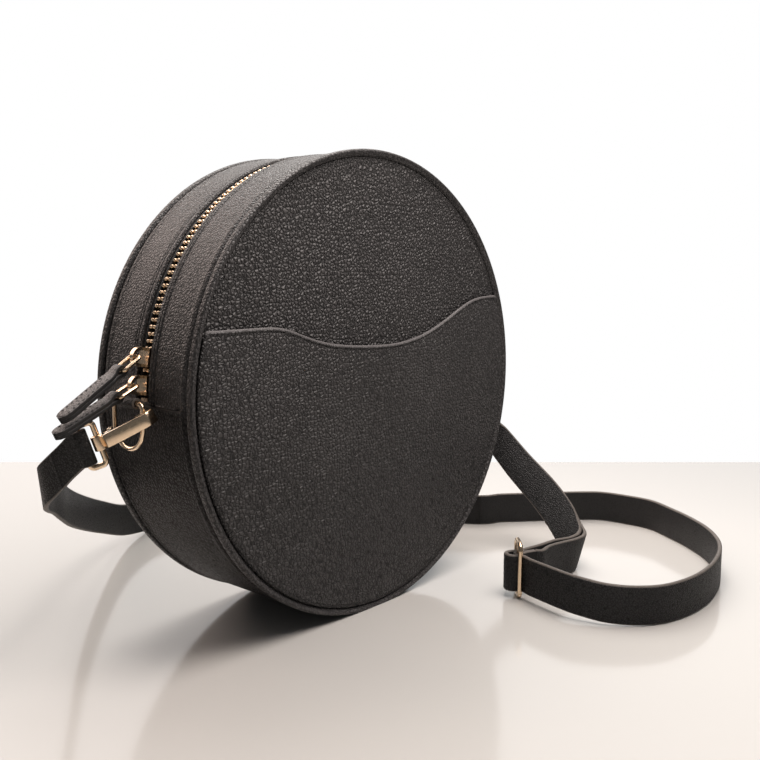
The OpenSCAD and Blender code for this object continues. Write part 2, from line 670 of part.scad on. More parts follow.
// A rounded rectangle of wire, lx by ly between wire centres
module wire_ring(lx, ly, r, bend) {
    for (s = [-1, 1]) {
        translate([0, s * ly / 2, 0]) wire_x(lx - 2 * bend, r);
        translate([s * lx / 2, 0, 0]) wire_y(ly - 2 * bend, r);
    }
    for (q = [0:3])
        translate([(q == 0 || q == 3 ? 1 : -1) * (lx / 2 - bend), (q < 2 ? 1 : -1) * (ly / 2 - bend), 0])
            wire_arc(bend, r, 90 * q, 90 * q + 90);
}

// Children run along local x from the slider's hinge, sloping down to the left
module from_hinge(angle, slope)
    translate([hinge_r * cos(angle), 0, centre_z + hinge_r * sin(angle)])
        rotate([0, 180 - slope, 0])
            children();

module link() translate([link_len / 2, 0, 0]) wire_ring(link_len, link_w, link_wire / 2, link_bend);

// A strip folded round local z, which runs out along local x and thins to a straight stretch
fold_share = 0.9;
module fold_solid(r, taper, half, length, width) {
    translate([0, 0, -width / 2]) cylinder(h = width, r = r);
    translate([0, 0, -width / 2])
        linear_extrude(height = width)
            polygon([
                [0, fold_share * r], [taper, half], [length, half],
                [length, -half], [taper, -half], [0, -fold_share * r]
            ]);
}
module bore(r, width) translate([0, 0, -width]) cylinder(h = 2 * width, r = r);

// A leather pull folded round the link's far bar
module pull(length)
    translate([link_len, 0, 0])
        intersection() {
            rotate([90, 0, 0])
                difference() {
                    fold_solid(pull_fold_r, pull_taper_end, pull_t / 2, length, pull_w);
                    bore(pull_eye_r, pull_w);
                }
            union() {
                translate([-pull_t, -pull_neck_w / 2, -pull_t])
                    cube([pull_t + 2 * pull_neck_end, pull_neck_w, 2 * pull_t]);
                translate([pull_neck_end, -pull_w / 2, -pull_t])
                    cube([length - pull_w / 2 - pull_neck_end, pull_w, 2 * pull_t]);
                translate([length - pull_w / 2, 0, 0]) bore(pull_w / 2, pull_t);
            }
        }

module slider_lower() color(gold) at_polar(angle_lower) slider(-1);
module bail_lower() color(gold) at_polar(angle_lower) bail();
module link_lower() color(gold) from_hinge(angle_lower, pull_lower_slope) link();
module pull_lower() color(leather_edge) from_hinge(angle_lower, pull_lower_slope) pull(pull_lower_len);
module slider_upper() color(gold) at_polar(angle_upper) slider(1);
module bail_upper() color(gold) at_polar(angle_upper) bail();
module link_upper() color(gold) from_hinge(angle_upper, pull_upper_slope) link();
module pull_upper() color(leather_edge) from_hinge(angle_upper, pull_upper_slope) pull(pull_upper_len);

// Children at a ring's bar, with local x toward the bag
module at_left_bar() translate([-bar_x, 0, bar_z_left]) children();
module at_right_bar() translate([bar_x, 0, bar_z_right]) rotate([0, 0, 180]) children();

// A leather tab looped round the ring's bar and sewn in at the seam
module tab()
    rotate([0, tab_slope, 0])
        rotate([90, 0, 0])
            difference() {
                fold_solid(tab_fold_r, bar_reach / 2, tab_t, 2 * bar_reach, tab_w);
                bore(tab_eye_r, tab_w);
            }
module clear_of_gusset()
    difference() {
        children();
        on_disc(-gusset_f) cylinder(h = 2 * gusset_f, r = tab_cut_r);
    }
module tab_left() color(leather) clear_of_gusset() at_left_bar() tab();
module tab_right() color(leather) clear_of_gusset() at_right_bar() tab();

// A D-ring hanging from its bar, in the plane square to X
module d_ring()
    rotate([90, 0, 90]) {
        wire_x(ring_w - 2 * ring_bend, ring_wire / 2);
        for (s = [-1, 1]) {
            translate([s * bow_r, -(ring_leg + ring_bend) / 2, 0]) wire_y(ring_leg - ring_bend, ring_wire / 2);
            translate([s * (bow_r - ring_bend), -ring_bend, 0])
                wire_arc(ring_bend, ring_wire / 2, s > 0 ? 0 : 90, s > 0 ? 90 : 180);
        }
        translate([0, -ring_leg, 0]) wire_arc(bow_r, ring_wire / 2, 180, 360);
    }
module d_ring_left() color(gold) at_left_bar() d_ring();
module d_ring_right() color(gold) at_right_bar() d_ring();

// Children at a hook's claw, with local x toward its tail and local y toward its outer face
module at_left_hook() translate(claw_left) rotate([0, hook_left_dip, hook_left_yaw]) children();
module at_right_hook() translate(claw_right) rotate([0, hook_right_dip, hook_right_yaw]) children();
module at_left_tail() translate(tail_left) rotate([0, loop_left_dip, hook_left_yaw]) children();
module at_right_tail() translate(tail_right) rotate([0, hook_right_dip, hook_right_yaw]) children();

// The hook's body without its tail: claw, shank and a root that is slotted for the gate
module hook_plate()
    difference() {
        translate([0, 0, -hook_h / 2])
            linear_extrude(height = hook_h) {
                difference() {
                    circle(claw_out);
                    circle(claw_r);
                    translate([0, -bag_r]) square([bag_d, bag_d]);
                }
                translate([0, -claw_out]) square([claw_tip, claw_t]);
                translate([0, claw_r]) square([root_start + hook_root, claw_t]);
                translate([root_start, -gate_y]) square([hook_root, gate_y + claw_out]);
                translate([gate_pivot, -gate_y]) circle(ear_r);
            }
        translate([root_start - overrun, -gate_y - overrun + gate_t + gate_gap, -slot_h / 2])
            cube([overrun + gate_pivot - root_start + ear_r + gate_gap, overrun, slot_h]);
        translate([gate_pivot, -gate_y, -hook_h]) cylinder(h = 2 * hook_h, r = gate_eye_r);
    }
module tail_eye() translate([0, 0, -tail_h / 2]) cylinder(h = tail_h, r = tail_r);
module hook_left()
    color(gold)
        difference() {
            union() {
                at_left_hook() hook_plate();
                at_left_tail() tail_eye();
            }
            at_left_tail() bore(tail_eye_r, tail_h);
        }
module hook_right()
    color(gold)
        difference() {
            union() {
                at_right_hook() hook_plate();
                at_right_tail() tail_eye();
            }
            at_right_tail() bore(tail_eye_r, tail_h);
        }

// The spring gate, which closes the claw and turns about its pin
module gate()
    translate([0, 0, -gate_h / 2])
        linear_extrude(height = gate_h)
            difference() {
                union() {
                    translate([gate_tip, -gate_y - gate_t / 2]) square([gate_pivot - gate_tip, gate_t]);
                    translate([gate_pivot, -gate_y]) circle(gate_t / 2 + glue_gap);
                    translate([gate_tip + (gate_pivot - gate_tip) * gate_lever_share, -gate_y - gate_t / 2])
                        circle(gate_lever);
                }
                translate([gate_pivot, -gate_y]) circle(gate_eye_r);
                translate([0, -gate_y + gate_t / 2]) square([gate_pivot - ear_r, claw_out]);
            }
module gate_pin() translate([gate_pivot, -gate_y, -hook_h / 2]) cylinder(h = hook_h, r = gate_pin_d / 2);
module gate_left() color(gold) at_left_hook() gate();
module gate_right() color(gold) at_right_hook() gate();
module gate_pin_left() color(gold) at_left_hook() gate_pin();
module gate_pin_right() color(gold) at_right_hook() gate_pin();

// The wire loop between the hook's tail and the strap
module strap_loop()
    rotate([90, 0, 0])
        translate([loop_depth / 2, 0, 0])
            wire_ring(loop_depth, loop_w, loop_wire / 2, loop_bend);
module strap_loop_left() color(gold) at_left_tail() strap_loop();
module strap_loop_right() color(gold) at_right_tail() strap_loop();

// A strap folded round a bar: an arc with a short straight ply on each side, opening along local x
module fold(r_in, t, ply, width)
    translate([0, 0, -width / 2])
        linear_extrude(height = width) {
            difference() {
                circle(r_in + t);
                circle(r_in);
                translate([0, -bag_r]) square([bag_d, bag_d]);
            }
            for (y = [r_in, -r_in - t])
                translate([0, y]) square([ply, t]);
        }

// The strap
module strap_end_left()
    color(leather) {
        at_left_tail()
            translate([loop_depth, 0, 0])
                rotate([0, 0, fold_left_turn])
                    fold(fold_r, turn_t, ply_start, strap_end_w);
        band(part_of(drop_rows, 0, stitched_rows), turn_t);
        band([for (i = [0:stitched_rows])
            let (r = drop_rows[i], open = max(0, 1 - i / route_steps))
                [r[0], r[1], r[2], r[3], -(turn_t + ply_gap) - open * (2 * fold_mid - turn_t - ply_gap)]], turn_t);
    }
module strap_drop() color(leather) band(part_of(drop_rows, stitched_rows, len(drop_rows) - 1), strap_t);
module strap_behind()
    color(leather) band(part_of(behind_rows, 2 * route_steps, len(behind_rows) - 1 - 2 * route_steps), strap_t);
module strap_front() color(leather) band(front_rows, strap_t);
module strap_end_right()
    color(leather)
        at_right_tail()
            translate([loop_depth, 0, 0])
                fold(fold_r, turn_t, ply_start, strap_end_w);
module riser_outer() color(leather) band(outer_rows, strap_t);
module riser_inner() color(leather) band(inner_rows, strap_t);

// Children in the plane of the adjuster's frame, with local z along the strap's way through it
module in_frame() translate(adjuster_at) rotate([90, 0, frame_turn]) children();

module adjuster_frame()
    color(gold)
        in_frame()
            translate([0, frame_h / 2, 0])
                wire_ring(2 * frame_reach, frame_h - frame_wire, frame_wire / 2, frame_bend);
module adjuster_bar()
    color(gold)
        translate(adjuster_at + [0, 0, frame_wire + glue_gap])
            cylinder(h = frame_h - 2 * (frame_wire + glue_gap), r = mid_bar_d / 2);
module strap_tail()
    color(leather)
        translate(adjuster_at + [0, 0, frame_strap_z])
            rotate([0, 0, frame_turn - 90 + tail_turn])
                difference() {
                    fold_solid(mid_fold_out, tail_len / 2, tail_t + ply_gap / 2, tail_len, strap_w);
                    fold_solid(mid_fold_r, tail_len / 2, ply_gap / 2, 2 * tail_len, 2 * strap_w);
                }

front_panel();
front_board();
front_lining();
front_rim();
pocket_panel();
pocket_lining();
back_panel();
back_board();
back_lining();
back_rim();
base_gusset();
base_board();
base_lining();
zip_gusset_front();
zip_gusset_back();
zip_lining_front();
zip_lining_back();
zip_tape_front();
zip_tape_back();
zip_teeth_front();
zip_teeth_back();
zip_stops();
slider_lower();
bail_lower();
link_lower();
pull_lower();
slider_upper();
bail_upper();
link_upper();
pull_upper();
tab_left();
d_ring_left();
hook_left();
gate_left();
gate_pin_left();
strap_loop_left();
tab_right();
d_ring_right();
hook_right();
gate_right();
gate_pin_right();
strap_loop_right();
strap_end_left();
strap_drop();
strap_behind();
strap_front();
riser_outer();
riser_inner();
strap_end_right();
strap_tail();
adjuster_frame();
adjuster_bar();
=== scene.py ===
"""Round cross-body bag of pebbled leather, built around its solids: leather, cloth, thread, zip and metal."""

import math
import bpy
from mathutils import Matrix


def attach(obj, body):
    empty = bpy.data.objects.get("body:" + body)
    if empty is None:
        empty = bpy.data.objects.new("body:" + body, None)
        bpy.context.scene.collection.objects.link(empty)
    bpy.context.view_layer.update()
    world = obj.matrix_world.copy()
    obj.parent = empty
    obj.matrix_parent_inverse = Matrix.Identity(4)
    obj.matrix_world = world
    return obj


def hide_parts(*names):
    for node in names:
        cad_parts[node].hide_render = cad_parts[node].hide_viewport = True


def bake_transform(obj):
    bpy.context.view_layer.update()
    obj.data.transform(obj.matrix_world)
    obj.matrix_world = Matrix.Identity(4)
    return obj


bl_info = {
    "name": "Round Cross-Body Bag",
    "version": (1, 0, 0),
    "blender": (4, 5, 0),
    "location": "View3D > Sidebar > Round Bag",
    "description": "Builds the leather, zip, strap and metal of a round cross-body bag",
    "category": "Object",
}

import bpy
import numpy as np
from mathutils import Matrix, Vector

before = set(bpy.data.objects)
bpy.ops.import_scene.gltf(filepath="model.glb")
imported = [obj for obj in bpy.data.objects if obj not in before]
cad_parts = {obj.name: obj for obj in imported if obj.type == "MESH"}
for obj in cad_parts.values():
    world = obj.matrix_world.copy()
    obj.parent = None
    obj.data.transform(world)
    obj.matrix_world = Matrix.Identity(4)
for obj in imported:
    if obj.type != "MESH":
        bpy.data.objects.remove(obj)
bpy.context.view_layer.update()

MM = 0.001
UP = np.array([0.0, 0.0, 1.0])

# The bag's own layout, in millimetres and degrees
BAG_D = 220.0
CENTRE_Z = 109.0
ROLL = 2.4
GUSSET_R = 109.2
RIM_R = (106.5, 110.0)
RIM_F = (29.5, 33.5)
PANEL_R = 106.4
SEAM_DIP_R = 105.3
STITCH_R = 105.2
PANEL_F = 31.65
PANEL_BACK = 30.25
POCKET_F = 33.35
POCKET_BACK = 32.15
SEAM_LEFT = 180.0
SEAM_RIGHT = 4.8
TAPE_R = 107.4
HEM_STITCH_F = 6.3
GUSSET_T = 1.4
TEETH_COUNT = 107
TEETH_MARGIN = 1.44
STITCH_SINK = 0.3
POCKET_STITCH_SINK = 0.28
POCKET_STITCH_IN = 1.95

POCKET_EDGE = np.array([
    [-1.05, 0.335], [-0.95, 0.334], [-0.85, 0.33], [-0.75, 0.326], [-0.66, 0.322], [-0.59, 0.315],
    [-0.52, 0.297], [-0.44, 0.266], [-0.35, 0.235], [-0.25, 0.212], [-0.14, 0.196], [-0.03, 0.185],
    [0.09, 0.178], [0.2, 0.182], [0.31, 0.197], [0.42, 0.225], [0.52, 0.26], [0.61, 0.295],
    [0.7, 0.325], [0.78, 0.339], [0.86, 0.342], [0.95, 0.34], [1.05, 0.338],
])

# Strap sizes and the shares of the bag's diameter that its routes run through
STRAP_W = 19.0
STRAP_T = 2.2
END_W = 15.0
TURN_T = 1.9
PLY_GAP = 0.1
JOINT_GAP = 0.3
FOLD_MID = 1.35 + TURN_T / 2
PLY_START = 0.8 * TURN_T
LOOP_DEPTH = 6.4
ROUTE_STEPS = 6
DROP = np.array([
    [-0.636, 0.041, 0.402], [-0.645, 0.068, 0.377], [-0.648, 0.098, 0.354], [-0.632, 0.132, 0.336],
    [-0.602, 0.173, 0.320], [-0.564, 0.223, 0.300], [-0.513, 0.282, 0.265], [-0.441, 0.373, 0.219],
    [-0.345, 0.477, 0.168], [-0.236, 0.577, 0.117], [-0.118, 0.664, 0.0682], [0, 0.723, 0.0455],
])
DROP_SIDES = np.array([
    [-0.25, 0.14, 0.95], [-0.22, 0.1, 0.97], [-0.15, 0.05, 0.98], [-0.08, 0.02, 1],
    [-0.04, 0, 1], [-0.02, 0, 1], UP, UP, UP, UP, UP, UP,
])
BEHIND = np.array([
    [0.114, 0.745], [0.205, 0.736], [0.295, 0.709], [0.386, 0.659], [0.464, 0.577],
    [0.523, 0.450], [0.568, 0.300], [0.618, 0.159], [0.682, 0.050],
])
FRONT = np.array([
    [0.736, 0.018], [0.782, -0.023], [0.873, -0.105], [0.923, -0.155], [0.955, -0.200],
    [0.964, -0.273], [0.959, -0.350], [0.914, -0.427], [0.864, -0.500], [0.795, -0.577],
    [0.705, -0.641], [0.605, -0.680], [0.495, -0.700], [0.400, -0.698], [0.318, -0.676],
    [0.264, -0.636], [0.232, -0.591], [0.218, -0.545], [0.214, -0.495],
])
FRONT_RISE = np.array([0] * 15 + [0.1, 0.3, 0.6, 0.9])
RISER_OFFSETS = np.array([1.2, 1.05, 1.05, 1.05, 1.05, 1.15, 1.2, 1.35, 1.5, 2.2]) * (STRAP_T + PLY_GAP) / 2
RISER = np.array([
    [0.553, -0.0645, 0.3185], [0.564, -0.080, 0.295], [0.5695, -0.111, 0.261], [0.5705, -0.155, 0.220],
    [0.568, -0.230, 0.161], [0.561, -0.282, 0.114], [0.549, -0.320, 0.073], [0.5295, -0.352, 0.0495],
    [0.486, -0.361, 0.0445], [0.427, -0.354, 0.0473],
])
RISER_SIDES = np.array([
    [0.5, -0.75, 0.35], [0.5, -0.6, 0.55], [0.5, -0.5, 0.68], [0.5, -0.43, 0.74],
    [0.5, -0.42, 0.75], [0.53, -0.45, 0.72], [0.46, -0.32, 0.83], [0.34, -0.15, 0.93],
    [0.2, -0.05, 0.97], [0.06, 0, 1],
])
OUTER_END = np.array([[0.368, -0.366, 0.0523], [0.322, -0.3765, 0.0555]])
INNER_END = np.array([[0.364, -0.345, 0.0523], [0.3245, -0.3445, 0.0555]])

# Adjuster
ADJUSTER_AT = np.array([0.258 * BAG_D, -0.352 * BAG_D, 0.0])
FRAME_TURN = 41.2
FRAME_REACH = 6.6
SLOT_MID = 3.975
WRAP_R = FRAME_REACH - SLOT_MID
TURN_REACH = 2.25
FRAME_STRAP_Z = 12.9
TAIL_T = 1.5
TAIL_TURN = 24
NEAR_LEG = -66.0
FAR_LEG = 52.0

# Hooks: where the claw and the tail of each lie, and how they are turned
LEFT_DIP, LEFT_YAW, LEFT_LOOP_DIP, LEFT_FOLD = 26.0, 147.3, 18.0, -45.0
RIGHT_DIP, RIGHT_YAW = 73.0, -59.0
TAIL_LEFT = np.array([-130.495, -0.723, 96.243])
TAIL_RIGHT = np.array([119.046, -9.077, 83.565])
TAB_BAR = {"left": (-116.2, 110.6), "right": (116.2, 119.738)}
TAB_SLOPE = math.atan2(1.6, 7.0)
TAB_W = 12.0
HOOK_LEN = 18.9
HOOK_H = 5.6
CLAW_T = 2.2
CLAW_MID = 4.3

# Camera in metres, its right, up and back axes, its way over the floor, and the floor's far edge ahead
CAMERA_AT = (-0.32828, -0.32165, 0.16671)
CAMERA_AXES = ((0.6585, -0.7526, 0.0), (0.0943, 0.0825, 0.9922), (-0.7467, -0.6533, 0.1253))
CAMERA_LENS = 43.75
AHEAD = (0.7526, 0.6585, 0)
FLOOR_SIZE = 2.6
FLOOR_REACH = 0.7665
FLOOR_Z = -0.0001
WALL_SIZE = (5.0, 2.6, 1)
WALL_AHEAD = 3.2
WALL_Z = 1.29
ROOM_COLOUR = (0.97, 0.98, 1, 1)
ROOM_STRENGTH = 0.12

# Area lamps, aimed at a point over the table: name, place and size in metres, power in watts, and colour
LAMP_AIM = (0, 0, 0.1)
LAMPS = (
    ("key", (0.05, -0.17, 0.45), 0.3, 2.9, (1.0, 0.91, 0.86)),
    ("back_light", (0.5, 0.55, 1.35), 0.9, 17.0, (1.0, 0.95, 0.9)),
    ("sheen", (-0.2, 0.9, 0.72), 0.9, 9.5, (1.0, 0.82, 0.74)),
    ("top_fill", (0.3, 0.0, 1.6), 1.4, 5.0, (1, 1, 1)),
)

# Zip pulls: each slider's angle round the bag, the slope of its pull and the pull's length
LINK_LEN = 9.5
HINGE_R = 113.55
PULLS = {"lower": (175.8, 24.4, 30.0), "upper": (169.8, 32.5, 32.0)}
PULL_STITCH_OUT = 2.5
PULL_STITCH_TOP = 1.45
PULL_STITCH_BELOW = 1.28


# Sizes and colours that a user may change


def length_mm(name, description, value, low, high):
    return bpy.props.FloatProperty(name=name, description=description, default=value, min=low, max=high)


def colour(name, description, value):
    return bpy.props.FloatVectorProperty(
        name=name, description=description, subtype="COLOR", default=value, min=0, max=1, size=3)


class RoundBagSizes(bpy.types.PropertyGroup):
    """Sizes of the leather's forms, in millimetres"""

    crown: length_mm("Panel Crown", "How far the panels swell at their middle, in mm", 1.0, 0, 3)
    stitch: length_mm("Stitch Length", "Length of one stitch in the leather, in mm", 2.3, 1, 5)
    stitch_gap: length_mm("Stitch Pitch", "Distance from one stitch to the next, in mm", 3.1, 1.5, 6)
    thread: length_mm("Thread Thickness", "Thickness of the sewing thread, in mm", 0.5, 0.2, 1)
    pebble: length_mm("Pebble Size", "Distance between the leather's pebbles, in mm", 1.8, 0.5, 4)
    wave: length_mm("Hand", "How far the leather waves, as worn leather does, in mm", 0.16, 0, 1)


class RoundBagColours(bpy.types.PropertyGroup):
    """Colours of the bag's materials"""

    leather: colour("Leather", "Colour of the bag's leather", (0.0405, 0.038, 0.0382))
    strap: colour("Strap Leather", "Colour of the strap's leather", (0.020, 0.0195, 0.0198))
    edge: colour("Edge Paint", "Colour of the paint on cut leather edges", (0.105, 0.092, 0.082))
    metal: colour("Metal", "Colour of the rings, hooks, zip and adjuster", (0.83, 0.64, 0.45))
    thread: colour("Thread", "Colour of the sewing thread", (0.018, 0.017, 0.017))
    lining: colour("Lining", "Colour of the cloth inside the bag", (0.42, 0.34, 0.26))
    floor: colour("Floor", "Colour of the floor", (0.49, 0.478, 0.458))


def sizes():
    return bpy.context.scene.round_bag_sizes


def colours():
    return bpy.context.scene.round_bag_colours


# Meshes


def unit(v):
    """Each vector divided by its length."""
    v = np.asarray(v, float)
    return v / np.linalg.norm(v, axis=-1, keepdims=True)


def grid_faces(nu, nv, wrap_u=False, wrap_v=False):
    """Quads between the neighbouring points of a grid with nu rows of nv points."""
    i = np.arange(nu if wrap_u else nu - 1)[:, None]
    j = np.arange(nv if wrap_v else nv - 1)[None, :]
    k, m = (i + 1) % nu, (j + 1) % nv
    return np.stack([i * nv + j, k * nv + j, k * nv + m, i * nv + m], -1).reshape(-1, 4)


def outward(co, faces):
    """The same faces, turned over if the volume that they enclose comes out negative."""
    tri = np.array([[f[0], f[k], f[k + 1]] for f in faces for k in range(1, len(f) - 1)])
    a, b, c = co[tri[:, 0]], co[tri[:, 1]], co[tri[:, 2]]
    if np.einsum("ij,ij->i", a, np.cross(b, c)).sum() < 0:
        return [f[::-1] for f in faces]
    return faces


def closed_tube(rings, closed=False, **attributes):
    """A form from rings of points: row i of the (n, m, 3) array is one ring; the ends are closed by fans.

    Attributes are per-point arrays of shape (n, m)."""
    n, m = rings.shape[:2]
    co = rings.reshape(-1, 3)
    faces = grid_faces(n, m, wrap_u=closed, wrap_v=True).tolist()
    values = {k: np.broadcast_to(v, (n, m)).reshape(-1) for k, v in attributes.items()}
    if not closed:
        ends = np.array([rings[0].mean(0), rings[-1].mean(0)])
        co = np.vstack([co, ends])
        j = np.arange(m)
        k = (j + 1) % m
        first = np.stack([np.full(m, n * m), k, j], -1)
        last = np.stack([np.full(m, n * m + 1), (n - 1) * m + j, (n - 1) * m + k], -1)
        faces += first.tolist() + last.tolist()
        values = {k: np.concatenate([v, [v[0], v[-1]]]) for k, v in values.items()}
    return co, outward(co, faces), values


def add_piece(name, forms, material, body=None, replaces=()):
    """One object from several forms, given in millimetres and stored in metres."""
    co, faces, values, start = [], [], {}, 0
    for c, f, v in forms:
        co.append(c)
        faces += [[i + start for i in face] for face in f]
        for key, data in v.items():
            values.setdefault(key, []).append((start, data))
        start += len(c)
    mesh = bpy.data.meshes.new(name)
    mesh.from_pydata(np.vstack(co) * MM, [], faces)
    for key, chunks in values.items():
        data = np.zeros(start, np.float32)
        for at, d in chunks:
            data[at:at + len(d)] = d
        mesh.attributes.new(key, "FLOAT", "POINT").data.foreach_set("value", data)
    mesh.polygons.foreach_set("use_smooth", np.full(len(mesh.polygons), True))
    mesh.update()
    piece = bpy.data.objects.new(name, mesh)
    bpy.context.scene.collection.objects.link(piece)
    mesh.materials.append(material)
    if replaces:
        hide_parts(*replaces)
    if body:
        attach(piece, body)
    return piece


def facing(points, sign):
    """The points as they are for the front, with sign 1, or mirrored to the back, with sign -1."""
    points[..., 1] *= sign
    return points


def round_at(r, angle):
    """x and z of points at radius r and an angle in degrees about the bag's middle."""
    return r * np.cos(np.radians(angle)), r * np.sin(np.radians(angle))


def polar(r, angle, f):
    """Points at radius r and an angle in degrees about the bag's axis, f forward of its middle plane."""
    r, angle, f = np.broadcast_arrays(*[np.asarray(v, float) for v in (r, angle, f)])
    a = np.radians(angle)
    return np.stack([r * np.cos(a), -f, CENTRE_Z + r * np.sin(a)], -1)


def on_foot(points, lowest=0.02):
    """The same points with those below the table raised to it."""
    out = points.copy()
    out[..., 2] = np.maximum(out[..., 2], lowest)
    return out


def turned(profile, a_from, a_to, steps, closed=False):
    """Rings of a closed profile of (r, f) points carried round the bag's axis, one ring for each angle."""
    angles = np.linspace(a_from, a_to, steps, endpoint=not closed)
    r = np.broadcast_to(profile[:, 0], (steps, len(profile)))
    f = np.broadcast_to(profile[:, 1], (steps, len(profile)))
    return polar(r, angles[:, None], f)


def rounded_box(half_w, half_t, radius, thickness=1.0, steps=4):
    """A rectangle with round corners as (m, 2) points, and a share that is 1 where its corners face sideways.

    Its second side is counted in thicknesses, so half_t and radius are shares of the thickness."""
    t = np.linspace(0, 90, steps + 1)
    corner = np.stack([np.cos(np.radians(t)) * np.mean(thickness), np.sin(np.radians(t))], -1) * radius
    out, edge = [], []
    for q, (sx, sy) in enumerate([(1, 1), (-1, 1), (-1, -1), (1, -1)]):
        arc = corner * [sx, sy] + [sx * (half_w - radius * np.mean(thickness)), sy * (half_t - radius)]
        share = 1 - t / 90
        if q % 2:
            arc, share = arc[::-1], share[::-1]
        out.append(arc)
        edge.append(np.clip(share * 3, 0, 1))
    return np.vstack(out), np.concatenate(edge)


def catmull(stations, steps=ROUTE_STEPS):
    """A smooth line through stations: between two of them it is the cubic that their neighbours give."""
    p = np.vstack([stations[:1], stations, stations[-1:]])
    a, b, c, d = p[:-3, None], p[1:-2, None], p[2:-1, None], p[3:, None]
    t = (np.arange(steps) / steps)[None, :, None]
    square, cube = 2 * a - 5 * b + 4 * c - d, 3 * b - a - 3 * c + d
    mid = 0.5 * (2 * b + (c - a) * t + square * t**2 + cube * t**3)
    return np.vstack([mid.reshape(-1, stations.shape[1]), stations[-1:]])


class Rows:
    """A flat band's route: its middle points, the direction across it, its normal and its width.

    The direction and the width are one for each point, or one for all."""

    def __init__(self, points, sides, widths, offsets=None):
        self.sides = unit(np.broadcast_to(sides, points.shape))
        ahead = np.vstack([points[1:2] - points[:1], points[2:] - points[:-2], points[-1:] - points[-2:-1]])
        self.normals = unit(np.cross(self.sides, unit(ahead)))
        self.points = points if offsets is None else points + self.normals * offsets[:, None]
        self.widths = np.broadcast_to(widths, len(points)).astype(float)

    @classmethod
    def routed(cls, points, sides, widths, offsets):
        """Rows whose points, sides, widths and offsets all run smoothly through their stations."""
        full = np.column_stack([points, sides, widths, offsets])
        s = catmull(full)
        return cls(s[:, :3], s[:, 3:6], s[:, 6], s[:, 7])

    def part(self, start, end):
        """The rows from start up to end, with the normals of the whole."""
        out = Rows.__new__(Rows)
        for key in ("points", "sides", "normals", "widths"):
            setattr(out, key, getattr(self, key)[start:end])
        return out


def band(rows, thickness, radius_share=0.42, inside=0.0):
    """A band with round edges along rows: each ring is the rounded rectangle in the plane across the route.

    The thickness is one number, or one for each row."""
    section, edge = rounded_box(STRAP_W / 2, 0.5, radius_share, thickness)
    across = section[None, :, 0] * rows.widths[:, None] / STRAP_W
    depth = section[None, :, 1] * np.broadcast_to(thickness, len(rows.points))[:, None]
    rings = (rows.points[:, None] + rows.sides[:, None] * across[..., None]
             + rows.normals[:, None] * depth[..., None])
    face = (section[:, 1] < 0).astype(float)
    return closed_tube(rings, edge_paint=edge[None, :], rough_side=np.abs(face - inside)[None, :])


def wire(points, radius, closed=False, sides=20):
    """A round wire along points: circles in the plane across it, turned as little as possible on the way."""
    nxt = np.roll(points, -1, 0) - np.roll(points, 1, 0)
    if not closed:
        nxt[0], nxt[-1] = points[1] - points[0], points[-1] - points[-2]
    ahead = unit(nxt)
    mean = unit(np.linalg.svd(points - points.mean(0))[2][2])
    side = unit(np.cross(ahead, mean))
    t = np.linspace(0, 2 * np.pi, sides, endpoint=False)
    ring = np.cos(t)[None, :, None] * side[:, None] + np.sin(t)[None, :, None] * mean[None, None]
    return closed_tube(points[:, None] + radius * ring, closed=closed)


def stitches(points, normals, length, pitch, thickness):
    """Stitches along a line: each is a stretched round of thread, centred one pitch after the last."""
    steps = np.linalg.norm(np.diff(points, axis=0), axis=1)
    s = np.concatenate([[0], np.cumsum(steps)])
    at = np.arange(pitch / 2, s[-1], pitch)
    centre = np.stack([np.interp(at, s, points[:, k]) for k in range(3)], -1)
    normal = unit(np.stack([np.interp(at, s, normals[:, k]) for k in range(3)], -1))
    step = np.stack([np.interp(at + pitch / 4, s, points[:, k]) for k in range(3)], -1) - centre
    ahead = unit(step)
    side = np.cross(normal, ahead)
    u = np.array([-1, -0.85, -0.45, 0, 0.45, 0.85, 1])
    w = np.sqrt(np.clip(1 - u**4, 0, 1))
    v = np.arange(6) * np.pi / 3
    ring = np.stack([np.broadcast_to(u[:, None] * length / 2, (7, 6)),
                     w[:, None] * np.cos(v) * thickness / 2,
                     w[:, None] * np.sin(v) * thickness / 2 - (u**2)[:, None] * thickness / 2], -1)
    ring = ring[1:-1]
    co = (centre[:, None, None] + ahead[:, None, None] * ring[None, ..., 0:1]
          + side[:, None, None] * ring[None, ..., 1:2] + normal[:, None, None] * ring[None, ..., 2:3])
    quads = grid_faces(5, 6, wrap_v=True)
    caps = [[5, 4, 3, 2, 1, 0], [24, 25, 26, 27, 28, 29]]
    one = co[0].reshape(-1, 3)
    shape = outward(one - one.mean(0), quads.tolist() + caps)
    faces = [[i + 30 * k for i in f] for k in range(len(at)) for f in shape]
    return [(co.reshape(-1, 3), faces, {})]


# Materials


